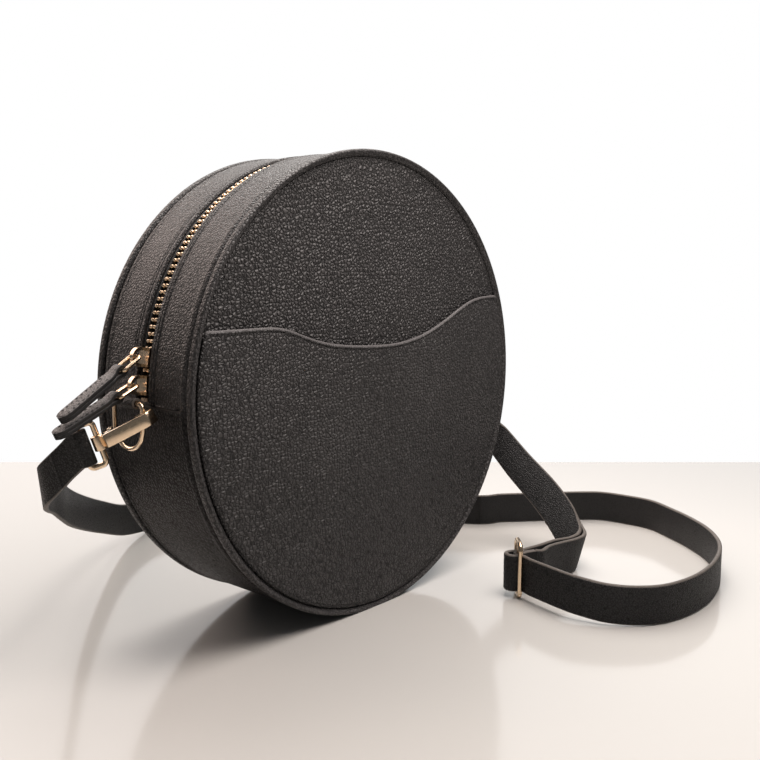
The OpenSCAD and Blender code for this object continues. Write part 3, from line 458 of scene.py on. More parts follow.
class Nodes:
    """Short calls that add and join shader nodes."""

    def __init__(self, name):
        self.material = bpy.data.materials.new(name)
        self.material.use_nodes = True
        self.tree = self.material.node_tree
        self.tree.nodes.clear()
        self.out = self.tree.nodes.new("ShaderNodeOutputMaterial")
        self.shader = self.tree.nodes.new("ShaderNodeBsdfPrincipled")
        self.link(self.shader.outputs[0], self.out.inputs[0])

    def link(self, a, b):
        """Joins an output to an input."""
        self.tree.links.new(a, b)

    def put(self, socket, value):
        """Joins another node's output to a socket, or sets the socket to a constant."""
        if isinstance(value, bpy.types.NodeSocket):
            self.link(value, socket)
        elif isinstance(value, (tuple, list)) and len(value) == 3 and socket.type == "RGBA":
            socket.default_value = (*value, 1)
        else:
            socket.default_value = value

    def add(self, kind, settings=None, **inputs):
        """A new node: an input is named by its name, or as i and its number."""
        node = self.tree.nodes.new("ShaderNode" + kind)
        for key, value in (settings or {}).items():
            setattr(node, key, value)
        for key, value in inputs.items():
            numbered = key[0] == "i" and key[1:].isdigit()
            self.put(node.inputs[int(key[1:]) if numbered else key.replace("_", " ")], value)
        return node

    def place(self):
        """Object coordinates."""
        return self.add("TexCoord").outputs["Object"]

    def math(self, operation, a, b):
        return self.add("Math", {"operation": operation}, i0=a, i1=b).outputs[0]

    def ramp(self, value, low, high, out_low=0.0, out_high=1.0):
        """The value's range from low to high turned into another, and held at its ends."""
        node = self.add("MapRange", {"clamp": True}, i0=value, i1=low, i2=high, i3=out_low, i4=out_high)
        return node.outputs[0]

    def mix(self, factor, a, b):
        node = self.add("Mix", {"data_type": "RGBA"})
        self.put(node.inputs[0], factor)
        self.put(node.inputs[6], a)
        self.put(node.inputs[7], b)
        return node.outputs[2]

    def noise(self, place, scale, detail=2.0, rough=0.5):
        node = self.add("TexNoise", None, Vector=place, Scale=scale, Detail=detail, Roughness=rough)
        return node.outputs["Fac"]

    def attribute(self, name):
        return self.add("Attribute", {"attribute_name": name}).outputs["Fac"]

    def bump(self, height, strength, distance):
        return self.add("Bump", None, Height=height, Strength=strength, Distance=distance).outputs[0]

    def finish(self, colour_value, roughness, normal=None, **constants):
        """Sets the surface's colour, roughness, normal and other values, and returns the material."""
        self.put(self.shader.inputs["Base Color"], colour_value)
        self.put(self.shader.inputs["Roughness"], roughness)
        if normal is not None:
            self.link(normal, self.shader.inputs["Normal"])
        for key, value in constants.items():
            self.put(self.shader.inputs[key.replace("_", " ")], value)
        return self.material


def scaled(colour_value, factor):
    """A colour made darker or lighter by a factor."""
    return tuple(min(1.0, c * factor) for c in colour_value)


def pebbled(n, place, pebble):
    """Height of a pebbled grain: domed cells between creases, on softer rises, with fine pores."""
    sway = n.add("VectorMath", {"operation": "MULTIPLY_ADD"})
    n.put(sway.inputs[0], n.add("TexNoise", None, Vector=place, Scale=260.0, Detail=1.0).outputs["Color"])
    sway.inputs[1].default_value = (0.0016,) * 3
    n.put(sway.inputs[2], place)
    cells = n.add("TexVoronoi", {"feature": "DISTANCE_TO_EDGE"}, Vector=sway.outputs[0],
                  Scale=1000.0 / pebble, Randomness=0.9).outputs["Distance"]
    crease = n.ramp(cells, 0.0, 0.13)
    dome = n.math("POWER", n.ramp(cells, 0.0, 0.36), 0.6)
    rise = n.noise(place, 420.0, 2.0)
    pores = n.noise(place, 4200.0, 1.0)
    height = n.math("ADD", n.math("MULTIPLY", dome, 0.75), n.math("MULTIPLY", rise, 0.4))
    return n.math("ADD", height, n.math("MULTIPLY", pores, 0.06)), crease, dome


def leather(name, tint, pebble, depth, roughness, painted, shine):
    """Pebbled leather: painted shade in the creases and towards each pebble's edge, and a satin sheen that
    varies over the piece.

    The attribute fold marks turned and stretched edges and a seam's lip, which are smoother and painted
    lighter: a painted highlight where they catch the light from above. Where painted is a colour, it is that
    of the paint on the cut edges, which the attribute edge_paint marks, and the attribute rough_side marks
    the flesh side."""
    n = Nodes(name)
    place = n.place()
    height, crease, dome = pebbled(n, place, pebble)
    patches = n.ramp(n.noise(place, 22.0, 3.0), 0.35, 0.7)
    base = n.mix(patches, scaled(tint, 0.95), scaled(tint, 1.35))
    # Painted shade: each pebble darker towards its edge and darkest in the creases, where shade falls between
    # the pebbles.
    base = n.mix(n.ramp(dome, 0.1, 0.7), scaled(tint, 0.55), base)
    base = n.mix(crease, scaled(tint, 0.25), base)
    fold = n.attribute("fold")
    # Painted highlight: folded edges and a seam's lip made lighter, where they catch the light from above;
    # their grain is also smoothed.
    base = n.mix(fold, base, scaled(tint, 2.4))
    height = n.math("MULTIPLY", height, n.ramp(fold, 0.0, 0.6, 1.0, 0.08))
    rough = n.ramp(crease, 0.0, 1.0, roughness + 0.25, roughness)
    rough = n.math("ADD", rough, n.ramp(patches, 0, 1, 0.0, 0.06))
    if painted:
        edge = n.attribute("edge_paint")
        back = n.attribute("rough_side")
        base = n.mix(n.math("MULTIPLY", back, 0.7), base, scaled(tint, 0.7))
        uneven = n.ramp(n.noise(place, 900.0, 2.0), 0.3, 0.7)
        paint = n.mix(uneven, scaled(painted, 0.8), scaled(painted, 1.15))
        base = n.mix(n.ramp(edge, 0.35, 0.75), base, paint)
        height = n.math("MULTIPLY", height, n.ramp(edge, 0.2, 0.7, 1.0, 0.15))
        height = n.math("MULTIPLY", height, n.ramp(back, 0, 1, 1.0, 0.15))
    normal = n.bump(height, 1.0, depth)
    return n.finish(base, rough, normal, Specular_IOR_Level=shine)


def metal(name, tint, roughness):
    """Polished plated metal with faint rubbing marks."""
    n = Nodes(name)
    place = n.place()
    rub = n.noise(place, 700.0, 4.0, 0.6)
    shade = n.mix(n.ramp(rub, 0.35, 0.7), scaled(tint, 0.93), scaled(tint, 1.05))
    rough = n.ramp(rub, 0.3, 0.75, roughness, roughness + 0.1)
    normal = n.bump(n.noise(place, 180.0, 2.0), 0.12, 0.0003)
    return n.finish(shade, rough, normal, Metallic=1.0)


def woven(name, tint, thread, depth, roughness=0.85):
    """Cloth: two sets of threads that cross, with a little uneven colour."""
    n = Nodes(name)
    place = n.place()
    waves = [n.add("TexWave", {"wave_type": "BANDS", "bands_direction": direction}, Vector=place,
                   Scale=1000.0 / thread / 6.283, Distortion=0.3).outputs["Fac"] for direction in "XZ"]
    height = n.math("MULTIPLY", *waves)
    base = n.mix(height, scaled(tint, 0.7), scaled(tint, 1.1))
    base = n.mix(n.ramp(n.noise(place, 60.0, 3.0), 0.3, 0.7, 0.0, 0.3), base, scaled(tint, 0.8))
    return n.finish(base, roughness, n.bump(height, 0.5, depth), Sheen_Weight=0.2)


def twisted_thread(name, tint):
    """Sewing thread: fine slanting twists."""
    n = Nodes(name)
    place = n.place()
    twist = n.add("TexWave", {"wave_type": "BANDS", "bands_direction": "DIAGONAL"}, Vector=place,
                  Scale=420.0, Distortion=1.0).outputs["Fac"]
    base = n.mix(twist, scaled(tint, 0.7), scaled(tint, 1.3))
    return n.finish(base, 0.7, n.bump(twist, 0.4, 0.0001))


def pressed_board(name, tint):
    """Grey pressed board with short fibres."""
    n = Nodes(name)
    place = n.place()
    fibre = n.noise(place, 900.0, 4.0, 0.7)
    base = n.mix(n.ramp(fibre, 0.3, 0.7), scaled(tint, 0.8), scaled(tint, 1.1))
    return n.finish(base, 0.9, n.bump(fibre, 0.3, 0.0002))


# Each leather: its colour and the share of it, its share of the pebble size, the grain's depth in metres, its
# roughness, the colour and share of its edge paint, and its shine
LEATHERS = {
    "bag_leather": ("leather", 1.0, 1.0, 0.0014, 0.42, None, 0.32),
    "pocket_leather": ("leather", 0.95, 1.0, 0.0009, 0.44, None, 0.32),
    # The side band's leather is the bag's own leather made a little darker, as painted shade.
    "band_leather": ("leather", 0.88, 0.8, 0.00035, 0.38, None, 0.32),
    # The base's leather is the bag's own leather made darker and less shiny: painted shade on the part that
    # faces down.
    "base_leather": ("leather", 0.55, 0.9, 0.0004, 0.42, None, 0.12),
    "rim_leather": ("leather", 1.15, 1.0, 0.0004, 0.42, None, 0.32),
    "strap_leather": ("strap", 1.0, 0.6, 0.0003, 0.42, ("edge", 1.0), 0.22),
    "pull_leather": ("leather", 1.7, 0.6, 0.0002, 0.4, ("strap", 0.7), 0.32),
}

MATERIALS = {}


def make_leather(key):
    """The leather that LEATHERS describes under a key."""
    source, share, grain, depth, roughness, paint, shine = LEATHERS[key]
    tint = scaled(tuple(getattr(colours(), source)), share)
    painted = scaled(tuple(getattr(colours(), paint[0])), paint[1]) if paint else None
    return leather(key, tint, sizes().pebble * grain, depth, roughness, painted, shine)


def material(key):
    """The bag's materials, each made once, when a piece first asks for it."""
    c = colours()
    makers = {
        "metal": lambda: metal("champagne_metal", tuple(c.metal), 0.16),
        "teeth": lambda: metal("teeth_metal", tuple(c.metal), 0.24),
        "tape": lambda: woven("zip_tape_cloth", (0.016, 0.015, 0.015), 0.55, 0.00012, 0.8),
        "lining": lambda: woven("lining_twill", tuple(c.lining), 0.4, 0.00008),
        "thread": lambda: twisted_thread("sewing_thread", tuple(c.thread)),
        "board": lambda: pressed_board("stiffening_board", (0.50, 0.47, 0.43)),
    }
    if key not in MATERIALS:
        MATERIALS[key] = make_leather(key) if key in LEATHERS else makers[key]()
    return MATERIALS[key]


def finish_node(node, key):
    """Gives a CAD node that stays a material of its own."""
    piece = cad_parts[node]
    piece.data.materials.clear()
    piece.data.materials.append(material(key))


# Forms of the bag


def swell(x, z):
    """How far a panel stands proud: a low crown, and slow waves as leather over a board has."""
    share = np.clip((x**2 + z**2) / PANEL_R**2, 0, 1)
    wave = (np.sin(x * 0.071 + 1.3) * np.sin(z * 0.053 + 0.4) + 0.6 * np.sin(x * 0.031 - z * 0.062 + 2.1))
    return sizes().crown * (1 - share) + sizes().wave * wave * (1 - share)


def panel_form(sign, rings=70, spokes=240):
    """A round panel: its front points stand at the face plus swell(x, z), and dip at the seam."""
    r = PANEL_R * np.concatenate([np.linspace(0.0005, 0.93, rings - 26), np.linspace(0.935, 1, 26)])
    a = np.linspace(0, 360, spokes, endpoint=False)
    x, z = round_at(r[:, None], a)
    groove = 0.35 * np.exp(-(((r - STITCH_R) / 0.4) ** 2)) + 0.4 * np.clip((r - SEAM_DIP_R) / 1.1, 0, 1) ** 2
    face = PANEL_F + swell(x, z) - groove[:, None]
    front = polar(np.broadcast_to(r[:, None], x.shape), a[None, :], face)
    back_r = r[::-1][[0, 8, 40, -1]]
    back = polar(np.broadcast_to(back_r[:, None], (4, spokes)), a[None, :], PANEL_BACK)
    return closed_tube(facing(np.concatenate([front, back]), sign))


def pocket_edge(x):
    """Height of the pocket's upper edge above the bag's middle at x, in the bag's own rolled frame."""
    curve = catmull(POCKET_EDGE * PANEL_R, 8)
    return np.interp(x, curve[:, 0], curve[:, 1])


def rolled(x, z, f):
    """Points given in the bag's own rolled frame, at their place in the world."""
    a = math.radians(ROLL)
    return np.stack([x * math.cos(a) - z * math.sin(a), -f + 0 * x,
                     CENTRE_Z + x * math.sin(a) + z * math.cos(a)], -1)


def edge_tilt(x):
    """Length of the pocket's upper edge for each millimetre of x, from its rise around x."""
    return np.sqrt(1 + (pocket_edge(x + 0.5) - pocket_edge(x - 0.5)) ** 2)


def below_edge(x, z):
    """Distance of points below the pocket's upper edge, square to that edge."""
    return (pocket_edge(x) - z) / edge_tilt(x)


def pocket_form(across=320, round_=420, inner=40):
    """The pocket: rings that shrink from its outline to a middle point, at the face plus swell(x, z).

    The outline is the folded edge from right to left and then the seam's arc back. Along the edge the leather
    is rounded, then stands up over its fold, and dips at the row of stitches."""
    reach = PANEL_R * 0.9405
    x = np.linspace(reach, -reach, across)
    arc = np.radians(np.linspace(160.2, 379.8, round_))[1:-1]
    seam_arc = PANEL_R * np.stack([np.cos(arc), np.sin(arc)], -1)
    outline = np.vstack([np.stack([x, pocket_edge(x)], -1), seam_arc])
    middle = np.array([0.0, -30.0])
    far = np.linalg.norm(outline - middle, axis=1)
    near = np.array([0.0, 0.1, 0.25, 0.45, 0.7, 1.0, 1.3, 1.6, 1.8, 1.95, 2.1, 2.25, 2.4, 2.6, 2.9, 3.3, 3.8])
    share = near[:, None] / far
    rest = share[-1] + (0.998 - share[-1]) * np.linspace(0, 1, inner)[1:, None]
    share = np.vstack([share, rest])[..., None]
    points = outline + (middle - outline) * share
    xx, z = points[..., 0], points[..., 1]
    s, rim = below_edge(xx, z), np.hypot(xx, z)
    half = (POCKET_F - POCKET_BACK) / 2
    round_edge = half * (1 - np.sqrt(np.clip(1 - (1 - np.clip(s / 0.6, 0, 1)) ** 2, 0, 1)))
    bead = 0.25 * np.exp(-(((s - 0.85) / 0.6) ** 2)) - 0.38 * np.exp(-(((s - POCKET_STITCH_IN) / 0.3) ** 2))
    seam = 0.75 * np.clip((rim - SEAM_DIP_R) / 1.1, 0, 1) ** 2
    seam += 0.3 * np.exp(-(((rim - STITCH_R) / 0.4) ** 2))
    lift = swell(xx, z)
    front = rolled(xx, z, POCKET_F + lift - round_edge + bead - seam)[::-1]
    keep = [0, 2, 5, 14, 30, -1]
    back = rolled(xx[keep], z[keep], POCKET_BACK + lift[keep] + round_edge[keep])
    # fold marks the folded upper edge, which the leather smooths and paints lighter as a painted highlight.
    fold = np.exp(-((s / 0.95) ** 2))
    return closed_tube(np.concatenate([front, back]), fold=np.concatenate([fold[::-1], fold[keep]]))


def rim_profile(steps=40):
    """The rim's section: a rounded box, |x|^3.2 + |y|^3.2 = 1, whose front slopes down to the panel."""
    t = np.linspace(0, 2 * np.pi, steps, endpoint=False)
    power = 2 / 3.2
    c = np.sign(np.cos(t)) * np.abs(np.cos(t)) ** power
    s = np.sign(np.sin(t)) * np.abs(np.sin(t)) ** power
    r = (RIM_R[0] + RIM_R[1]) / 2 + (RIM_R[1] - RIM_R[0]) / 2 * c
    f = (RIM_F[0] + RIM_F[1]) / 2 + (RIM_F[1] - RIM_F[0]) / 2 * s
    f = RIM_F[0] + (f - RIM_F[0]) * (1 - 0.4 * np.clip((109.0 - r) / 2.5, 0, 1))
    return np.stack([r, f], -1)


def gusset_profile(f, hem=False):
    """Radius of the gusset at f: level, drawn in at the rims, with a stitched hem beside the zip if asked."""
    r = np.full_like(f, GUSSET_R)
    puff = 0.35 * np.exp(-(((np.abs(f) - 26.4) / 1.1) ** 2))
    r += puff - 0.9 * np.clip((np.abs(f) - 27.4) / 2.0, 0, 1) ** 1.5
    if hem:
        r += 0.25 * np.clip((7.9 - f) / 0.7, 0, 1) - 0.22 * np.exp(-(((f - 8.1) / 0.35) ** 2))
        r -= 0.3 * np.exp(-(((f - HEM_STITCH_F) / 0.3) ** 2))
        r -= 1.0 * np.clip((4.5 - f) / 0.7, 0, 1) ** 2.5
    return r


def strip_profile(f, r_top, thickness):
    """A closed section: the outer line r_top over f, and the inner line one thickness below."""
    outer = np.stack([r_top, f], -1)
    inner = np.stack([np.full_like(f, GUSSET_R - thickness), f], -1)[::-1]
    return np.vstack([outer, inner[::4]])


def folded(r_mid, half_gap, taper, length, steps=14):
    """Middle line of a strip folded round a bar: out along one leg, a half turn of radius r_mid, and back."""
    t = np.radians(np.linspace(96, 264, steps))
    arc = np.stack([r_mid * np.cos(t), r_mid * np.sin(t)], -1)
    s = np.linspace(0, 1, steps)[1:]
    leg_x = s * length
    ease = np.clip(leg_x / taper, 0, 1)
    leg_y = half_gap + (r_mid - half_gap) * (1 - ease * ease * (3 - 2 * ease))
    upper = np.stack([leg_x, leg_y], -1)[::-1]
    lower = np.stack([leg_x, -leg_y], -1)
    return np.vstack([upper, arc, lower])


def fold_rows(origin, out, up, side, line, width):
    """Rows along a folded middle line laid from an origin: its x runs out and its y runs up."""
    return Rows(origin + line[:, :1] * out + line[:, 1:] * up, side, width)


def axes(dip, yaw):
    """Local x, y and z of a piece that dips and is turned: x runs out along it and z across its bar."""
    d, w = math.radians(dip), math.radians(yaw)
    return np.array([
        [math.cos(d) * math.cos(w), math.cos(d) * math.sin(w), -math.sin(d)],
        [-math.sin(w), math.cos(w), 0],
        [math.sin(d) * math.cos(w), math.sin(d) * math.sin(w), math.cos(d)],
    ])


def spun(frame_axes, angle):
    """The same axes turned about their z."""
    a = math.radians(angle)
    x, y, z = frame_axes
    return np.array([math.cos(a) * x + math.sin(a) * y, -math.sin(a) * x + math.cos(a) * y, z])


def at_axes(frame_axes, origin, x, y, z=0.0):
    """Points given along a piece's own axes from its origin, at their place in the world."""
    x, y, z = np.broadcast_arrays(x, y, z)
    return origin + x[..., None] * frame_axes[0] + y[..., None] * frame_axes[1] + z[..., None] * frame_axes[2]


def slab(outline, half, rounding, frame_axes, origin, z_mid=0.0):
    """A flat form with round edges: the outline is drawn in towards both faces along a quarter circle."""
    t = np.radians(np.linspace(0, 90, 5))
    inset, level = rounding * (1 - np.cos(t)), half - rounding * (1 - np.sin(t))
    inset, level = np.concatenate([inset[::-1], inset]), np.concatenate([-level[::-1], level])
    middle = outline.mean(0)
    away = outline - middle
    rings = middle + away * (1 - inset[:, None, None] / np.linalg.norm(away, axis=1, keepdims=True))
    return closed_tube(at_axes(frame_axes, origin, rings[..., 0], rings[..., 1], z_mid + level[:, None]))


def hook_forms(frame_axes, tail_axes, tail):
    """A snap hook: a broad band round the claw and along the back, its root, two cheeks and the tail's eye.

    The band's path is a short tip, a half circle of radius 4.3 and a back that bows outwards by a sine."""
    claw = tail - HOOK_LEN * frame_axes[0]
    turn = np.radians(np.linspace(-90, -270, 25))
    back = np.linspace(1.0, 16.3, 24)
    x = np.concatenate([[2.6, 1.3], CLAW_MID * np.cos(turn), back])
    y = np.concatenate([[-CLAW_MID] * 2, CLAW_MID * np.sin(turn),
                        CLAW_MID + 0.35 * np.sin(np.pi * np.clip(back / 17.0, 0, 1))])
    points = at_axes(frame_axes, claw, x, y)
    share = np.linspace(0, 1, len(x))
    width = HOOK_H * (0.8 + 0.2 * np.clip(share / 0.35, 0, 1))
    thick = CLAW_T * (0.75 + 0.25 * np.clip(share / 0.2, 0, 1))
    forms = [band(Rows(points, frame_axes[2], width), thick, 0.3)]
    root = rounded_box(2.1, 3.3, 1.1)[0] + [14.5, 1.5]
    forms.append(slab(root, HOOK_H / 2, 0.5, frame_axes, claw))
    t = np.radians(np.linspace(180, 360, 15))
    boss = np.stack([13.6 + 1.7 * np.cos(t), -4.1 + 1.7 * np.sin(t)], -1)
    cheek = np.vstack([boss, [[15.5, -1.2], [12.6, -1.2]]])
    for side in (-1, 1):
        forms.append(slab(cheek, 0.57, 0.25, frame_axes, claw, side * 2.22))
    section = rounded_box(0.66, 3.0, 0.4)[0]
    t = np.linspace(0, 2 * np.pi, 40, endpoint=False)[:, None]
    r = 2.03 + section[None, :, 0]
    eye = at_axes(tail_axes, tail, r * np.cos(t), r * np.sin(t), section[None, :, 1])
    forms.append(closed_tube(eye, closed=True))
    return forms


# Strap routes


def widening(count):
    """Widths that grow from the strap's end to its full width over the first stations."""
    return np.minimum(STRAP_W, END_W + (STRAP_W - END_W) * np.arange(count) / 4)


def by_frame(s, a, z=FRAME_STRAP_Z):
    """A point s through and a across the adjuster's frame."""
    t = math.radians(FRAME_TURN)
    through = np.array([math.sin(t), -math.cos(t), 0])
    across = np.array([math.cos(t), math.sin(t), 0])
    s, a = np.broadcast_arrays(s, a)
    return ADJUSTER_AT + s[..., None] * through + a[..., None] * across + np.array([0, 0, z])


def leg_exit(angle, side):
    """Where a strap that wraps the frame's leg leaves it, through and across the frame."""
    turn = math.radians(90 - abs(angle))
    return np.array([WRAP_R * math.cos(turn), side * (FRAME_REACH - WRAP_R * math.sin(turn))])


def flat_points(shares, height=STRAP_W / 2):
    """Route points on the table, from shares of the bag's diameter."""
    return np.column_stack([shares * BAG_D, np.broadcast_to(height, len(shares))])


def led(shares, start, start_share):
    """Route points whose first few shift with the start of the route."""
    fade = np.clip(1 - (np.arange(len(shares)) + 1) / 7, 0, None)[:, None]
    return shares * BAG_D + fade * (start - np.array(start_share) * BAG_D)


def drop_points():
    """Route points from the left loop down to the table, and the way across the strap at the loop."""
    loop_axes = axes(LEFT_LOOP_DIP, LEFT_YAW)
    x, z = loop_axes[0], loop_axes[2]
    along, out = spun(loop_axes, LEFT_FOLD)[:2]
    start = TAIL_LEFT + LOOP_DEPTH * x + PLY_START * along + FOLD_MID * out
    return np.vstack([start, led(DROP, start, [-0.6278, 0.0160, 0.4251])]), z


def drop_route():
    """The strap from the left loop to the table."""
    points, z = drop_points()
    points = np.vstack([points, flat_points(BEHIND[:2])])
    widths = np.concatenate([[END_W], widening(len(DROP)), [STRAP_W, STRAP_W]])
    rows = Rows.routed(points, np.vstack([z, DROP_SIDES, UP, UP]), widths, np.zeros(len(points)))
    return rows.part(0, len(rows.points) - 2 * ROUTE_STEPS)


def behind_route():
    """The strap on the table behind the bag."""
    points = np.vstack([drop_points()[0][-3:], flat_points(BEHIND), flat_points(FRONT[:2])])
    count = len(points)
    rows = Rows.routed(points, np.tile(UP, (count, 1)), np.full(count, STRAP_W), np.zeros(count))
    return rows.part(2 * ROUTE_STEPS, len(rows.points) - 2 * ROUTE_STEPS)


def front_route():
    """The strap on the table in front, and its way round the adjuster's legs and middle bar."""
    height = STRAP_W / 2 + FRONT_RISE * (FRAME_STRAP_Z - STRAP_W / 2)
    near = leg_exit(NEAR_LEG, -1)
    step = 2 * WRAP_R * np.array([math.cos(math.radians(NEAR_LEG)), math.sin(math.radians(NEAR_LEG))])
    points = np.vstack([flat_points(BEHIND[-3:]), flat_points(FRONT, height), by_frame(*(near + step))])
    k = np.arange(5) / 4
    t = np.radians(90 - abs(NEAR_LEG) + k * abs(NEAR_LEG))
    first = by_frame(WRAP_R * np.cos(t), -FRAME_REACH + WRAP_R * np.sin(t))
    t = np.radians(-90 - 180 * np.arange(25) / 24)
    second = by_frame(-TURN_REACH + SLOT_MID * np.cos(t), SLOT_MID * np.sin(t))
    t = np.radians(90 - k * FAR_LEG)
    third = by_frame(WRAP_R * np.cos(t), FRAME_REACH - WRAP_R * np.sin(t))
    path = np.vstack([catmull(points), first, second, third])
    return Rows(path, UP, STRAP_W).part(2 * ROUTE_STEPS, None)


def riser_start():
    """Where the riser's two layers begin below the right loop."""
    return TAIL_RIGHT + (LOOP_DEPTH + PLY_START + JOINT_GAP) * axes(RIGHT_DIP, RIGHT_YAW)[0]


def riser_route(outer):
    """One layer of the strap from the right loop down to the adjuster."""
    x, z = axes(RIGHT_DIP, RIGHT_YAW)[[0, 2]]
    start = riser_start()
    if outer:
        a, reach, half = math.radians(TAIL_TURN), 4 * 2.55 + JOINT_GAP, (TAIL_T + PLY_GAP) / 2
        stop = np.array([reach * math.cos(a) - half * math.sin(a), reach * math.sin(a) + half * math.cos(a)])
    else:
        a = math.radians(FAR_LEG)
        stop = leg_exit(FAR_LEG, 1) + JOINT_GAP * np.array([math.cos(a), math.sin(a)])
    end = np.vstack([(OUTER_END if outer else INNER_END) * BAG_D, by_frame(*stop)])
    points = np.vstack([start - LOOP_DEPTH * x, start, led(RISER, start, [0.5475, -0.0526, 0.3434]), end])
    sides = np.vstack([z, z, RISER_SIDES, UP, UP, UP])
    widths = np.concatenate([[END_W, END_W], widening(len(RISER)), [STRAP_W] * 3])
    offsets = np.concatenate([[FOLD_MID] * 2, RISER_OFFSETS, [0, 0, 0]])
    rows = Rows.routed(points, sides, widths, offsets if outer else -offsets)
    return rows.part(ROUTE_STEPS, None)


# Operators, one for each group of pieces


class BagPart(bpy.types.Operator):
    """What the groups of pieces share: running one calls its make()"""

    bl_options = {"REGISTER", "UNDO"}

    def execute(self, context):
        self.make()
        return {"FINISHED"}


class ROUNDBAG_OT_panels(BagPart):
    """Adds the front and back leather panels, with a row of stitches inside each rim"""

    bl_idname = "roundbag.panels"
    bl_label = "Panels"

    def make(self):
        s = sizes()
        for side, sign in (("front", 1), ("back", -1)):
            add_piece(f"{side}_leather", [panel_form(sign)], material("bag_leather"), "bag",
                      [f"{side}_panel"])
            a = np.linspace(23.5, 161.0, 260) if side == "front" else np.linspace(0, 360, 500)
            line = facing(polar(STITCH_R, a, PANEL_F + swell(*round_at(STITCH_R, a)) - STITCH_SINK), sign)
            normals = np.tile([0, -sign, 0], (len(a), 1))
            add_piece(f"{side}_stitches", stitches(line, normals, s.stitch, s.stitch_gap, s.thread),
                      material("thread"), "bag")


class ROUNDBAG_OT_pocket(BagPart):
    """Adds the front pocket with its folded and stitched edge, and its lining"""

    bl_idname = "roundbag.pocket"
    bl_label = "Pocket"

    def make(self):
        s = sizes()
        add_piece("pocket_leather", [pocket_form()], material("pocket_leather"), "bag", ["pocket_panel"])
        x = np.linspace(-98, 98, 300)
        z = pocket_edge(x) - POCKET_STITCH_IN * edge_tilt(x)
        line = rolled(x, z, POCKET_F + swell(x, z) - POCKET_STITCH_SINK)
        normals = np.tile([0, -1, 0], (300, 1))
        a = np.linspace(162, 378, 300)
        x2, z2 = round_at(STITCH_R, a)
        rim_line = rolled(x2, z2, POCKET_F + swell(x2, z2) - POCKET_STITCH_SINK)
        forms = stitches(line, normals, s.stitch, s.stitch_gap, s.thread)
        forms += stitches(rim_line, normals, s.stitch, s.stitch_gap, s.thread)
        add_piece("pocket_stitches", forms, material("thread"), "bag")
        x = np.linspace(-97, 97, 80)
        top, low = pocket_edge(x) - 5, -np.sqrt(104**2 - x**2)
        z = top[:, None] + (low - top)[:, None] * np.linspace(0, 1, 40)[None]
        xx = np.broadcast_to(x[:, None], z.shape)
        outer = rolled(xx, z, 32.0 + swell(xx, z))
        inner = rolled(xx, z, 31.8 + swell(xx, z))[:, ::-1]
        cloth = closed_tube(np.concatenate([outer, inner], 1))
        add_piece("pocket_cloth", [cloth], material("lining"), "bag", ["pocket_lining"])


class ROUNDBAG_OT_rims(BagPart):
    """Adds the leather-covered rims round both panels"""

    bl_idname = "roundbag.rims"
    bl_label = "Rims"

    def make(self):
        for side, sign in (("front", 1), ("back", -1)):
            rings = facing(on_foot(turned(rim_profile(), 0, 360, 360, closed=True)), sign)
            add_piece(f"{side}_piping", [closed_tube(rings, closed=True)], material("rim_leather"), "bag",
                      [f"{side}_rim"])


class ROUNDBAG_OT_gussets(BagPart):
    """Adds the side band: its base half, and the two halves with stitched hems beside the zip"""

    bl_idname = "roundbag.gussets"
    bl_label = "Gussets"

    def make(self):
        s = sizes()
        edge_f = np.linspace(24.8, 29.4, 14)
        f = np.concatenate([-edge_f[::-1], np.linspace(-23, 23, 20), edge_f])
        profile = strip_profile(f, gusset_profile(f), GUSSET_T)
        reach = (SEAM_LEFT + 0.05, SEAM_RIGHT + 359.95, 700)
        rings, angles = turned(profile, *reach), np.linspace(*reach)
        near = np.minimum(angles - SEAM_LEFT, SEAM_RIGHT + 360 - angles) * math.radians(GUSSET_R)
        lip = 0.6 * np.exp(-(((near - 0.8) / 0.7) ** 2)) - 0.35 * np.clip(1 - near / 0.5, 0, 1)
        outer = np.arange(len(profile)) < len(f)
        rings += unit(polar(1.0, angles, 0) - [0, 0, CENTRE_Z])[:, None] * (lip[:, None] * outer)[..., None]
        # The seam's lip is marked through fold, so it is painted lighter: a painted highlight where it
        # catches the light from above.
        crease = np.exp(-(((near - 0.5) / 0.6) ** 2))[:, None] * outer
        base = closed_tube(on_foot(rings), fold=0.8 * crease)
        # The base takes the darker copy of the bag's leather, as painted shade.
        add_piece("base_leather", [base], material("base_leather"), "bag", ["base_gusset"])
        f = np.concatenate([np.linspace(3.8, 9.2, 46), np.linspace(10.2, 23, 12), edge_f])
        profile = strip_profile(f, gusset_profile(f, hem=True), GUSSET_T)
        for side, sign in (("front", 1), ("back", -1)):
            rings = facing(turned(profile, SEAM_RIGHT, SEAM_LEFT, 260), sign)
            add_piece(f"zip_leather_{side}", [closed_tube(rings)], material("band_leather"), "bag",
                      [f"zip_gusset_{side}"])
            a = np.linspace(SEAM_RIGHT + 0.6, SEAM_LEFT - 0.6, 400)
            line = facing(polar(GUSSET_R + 0.05, a, HEM_STITCH_F), sign)
            normals = unit(polar(1.0, a, 0) - [0, 0, CENTRE_Z])
            add_piece(f"zip_stitches_{side}", stitches(line, normals, s.stitch, s.stitch_gap, s.thread),
                      material("thread"), "bag")


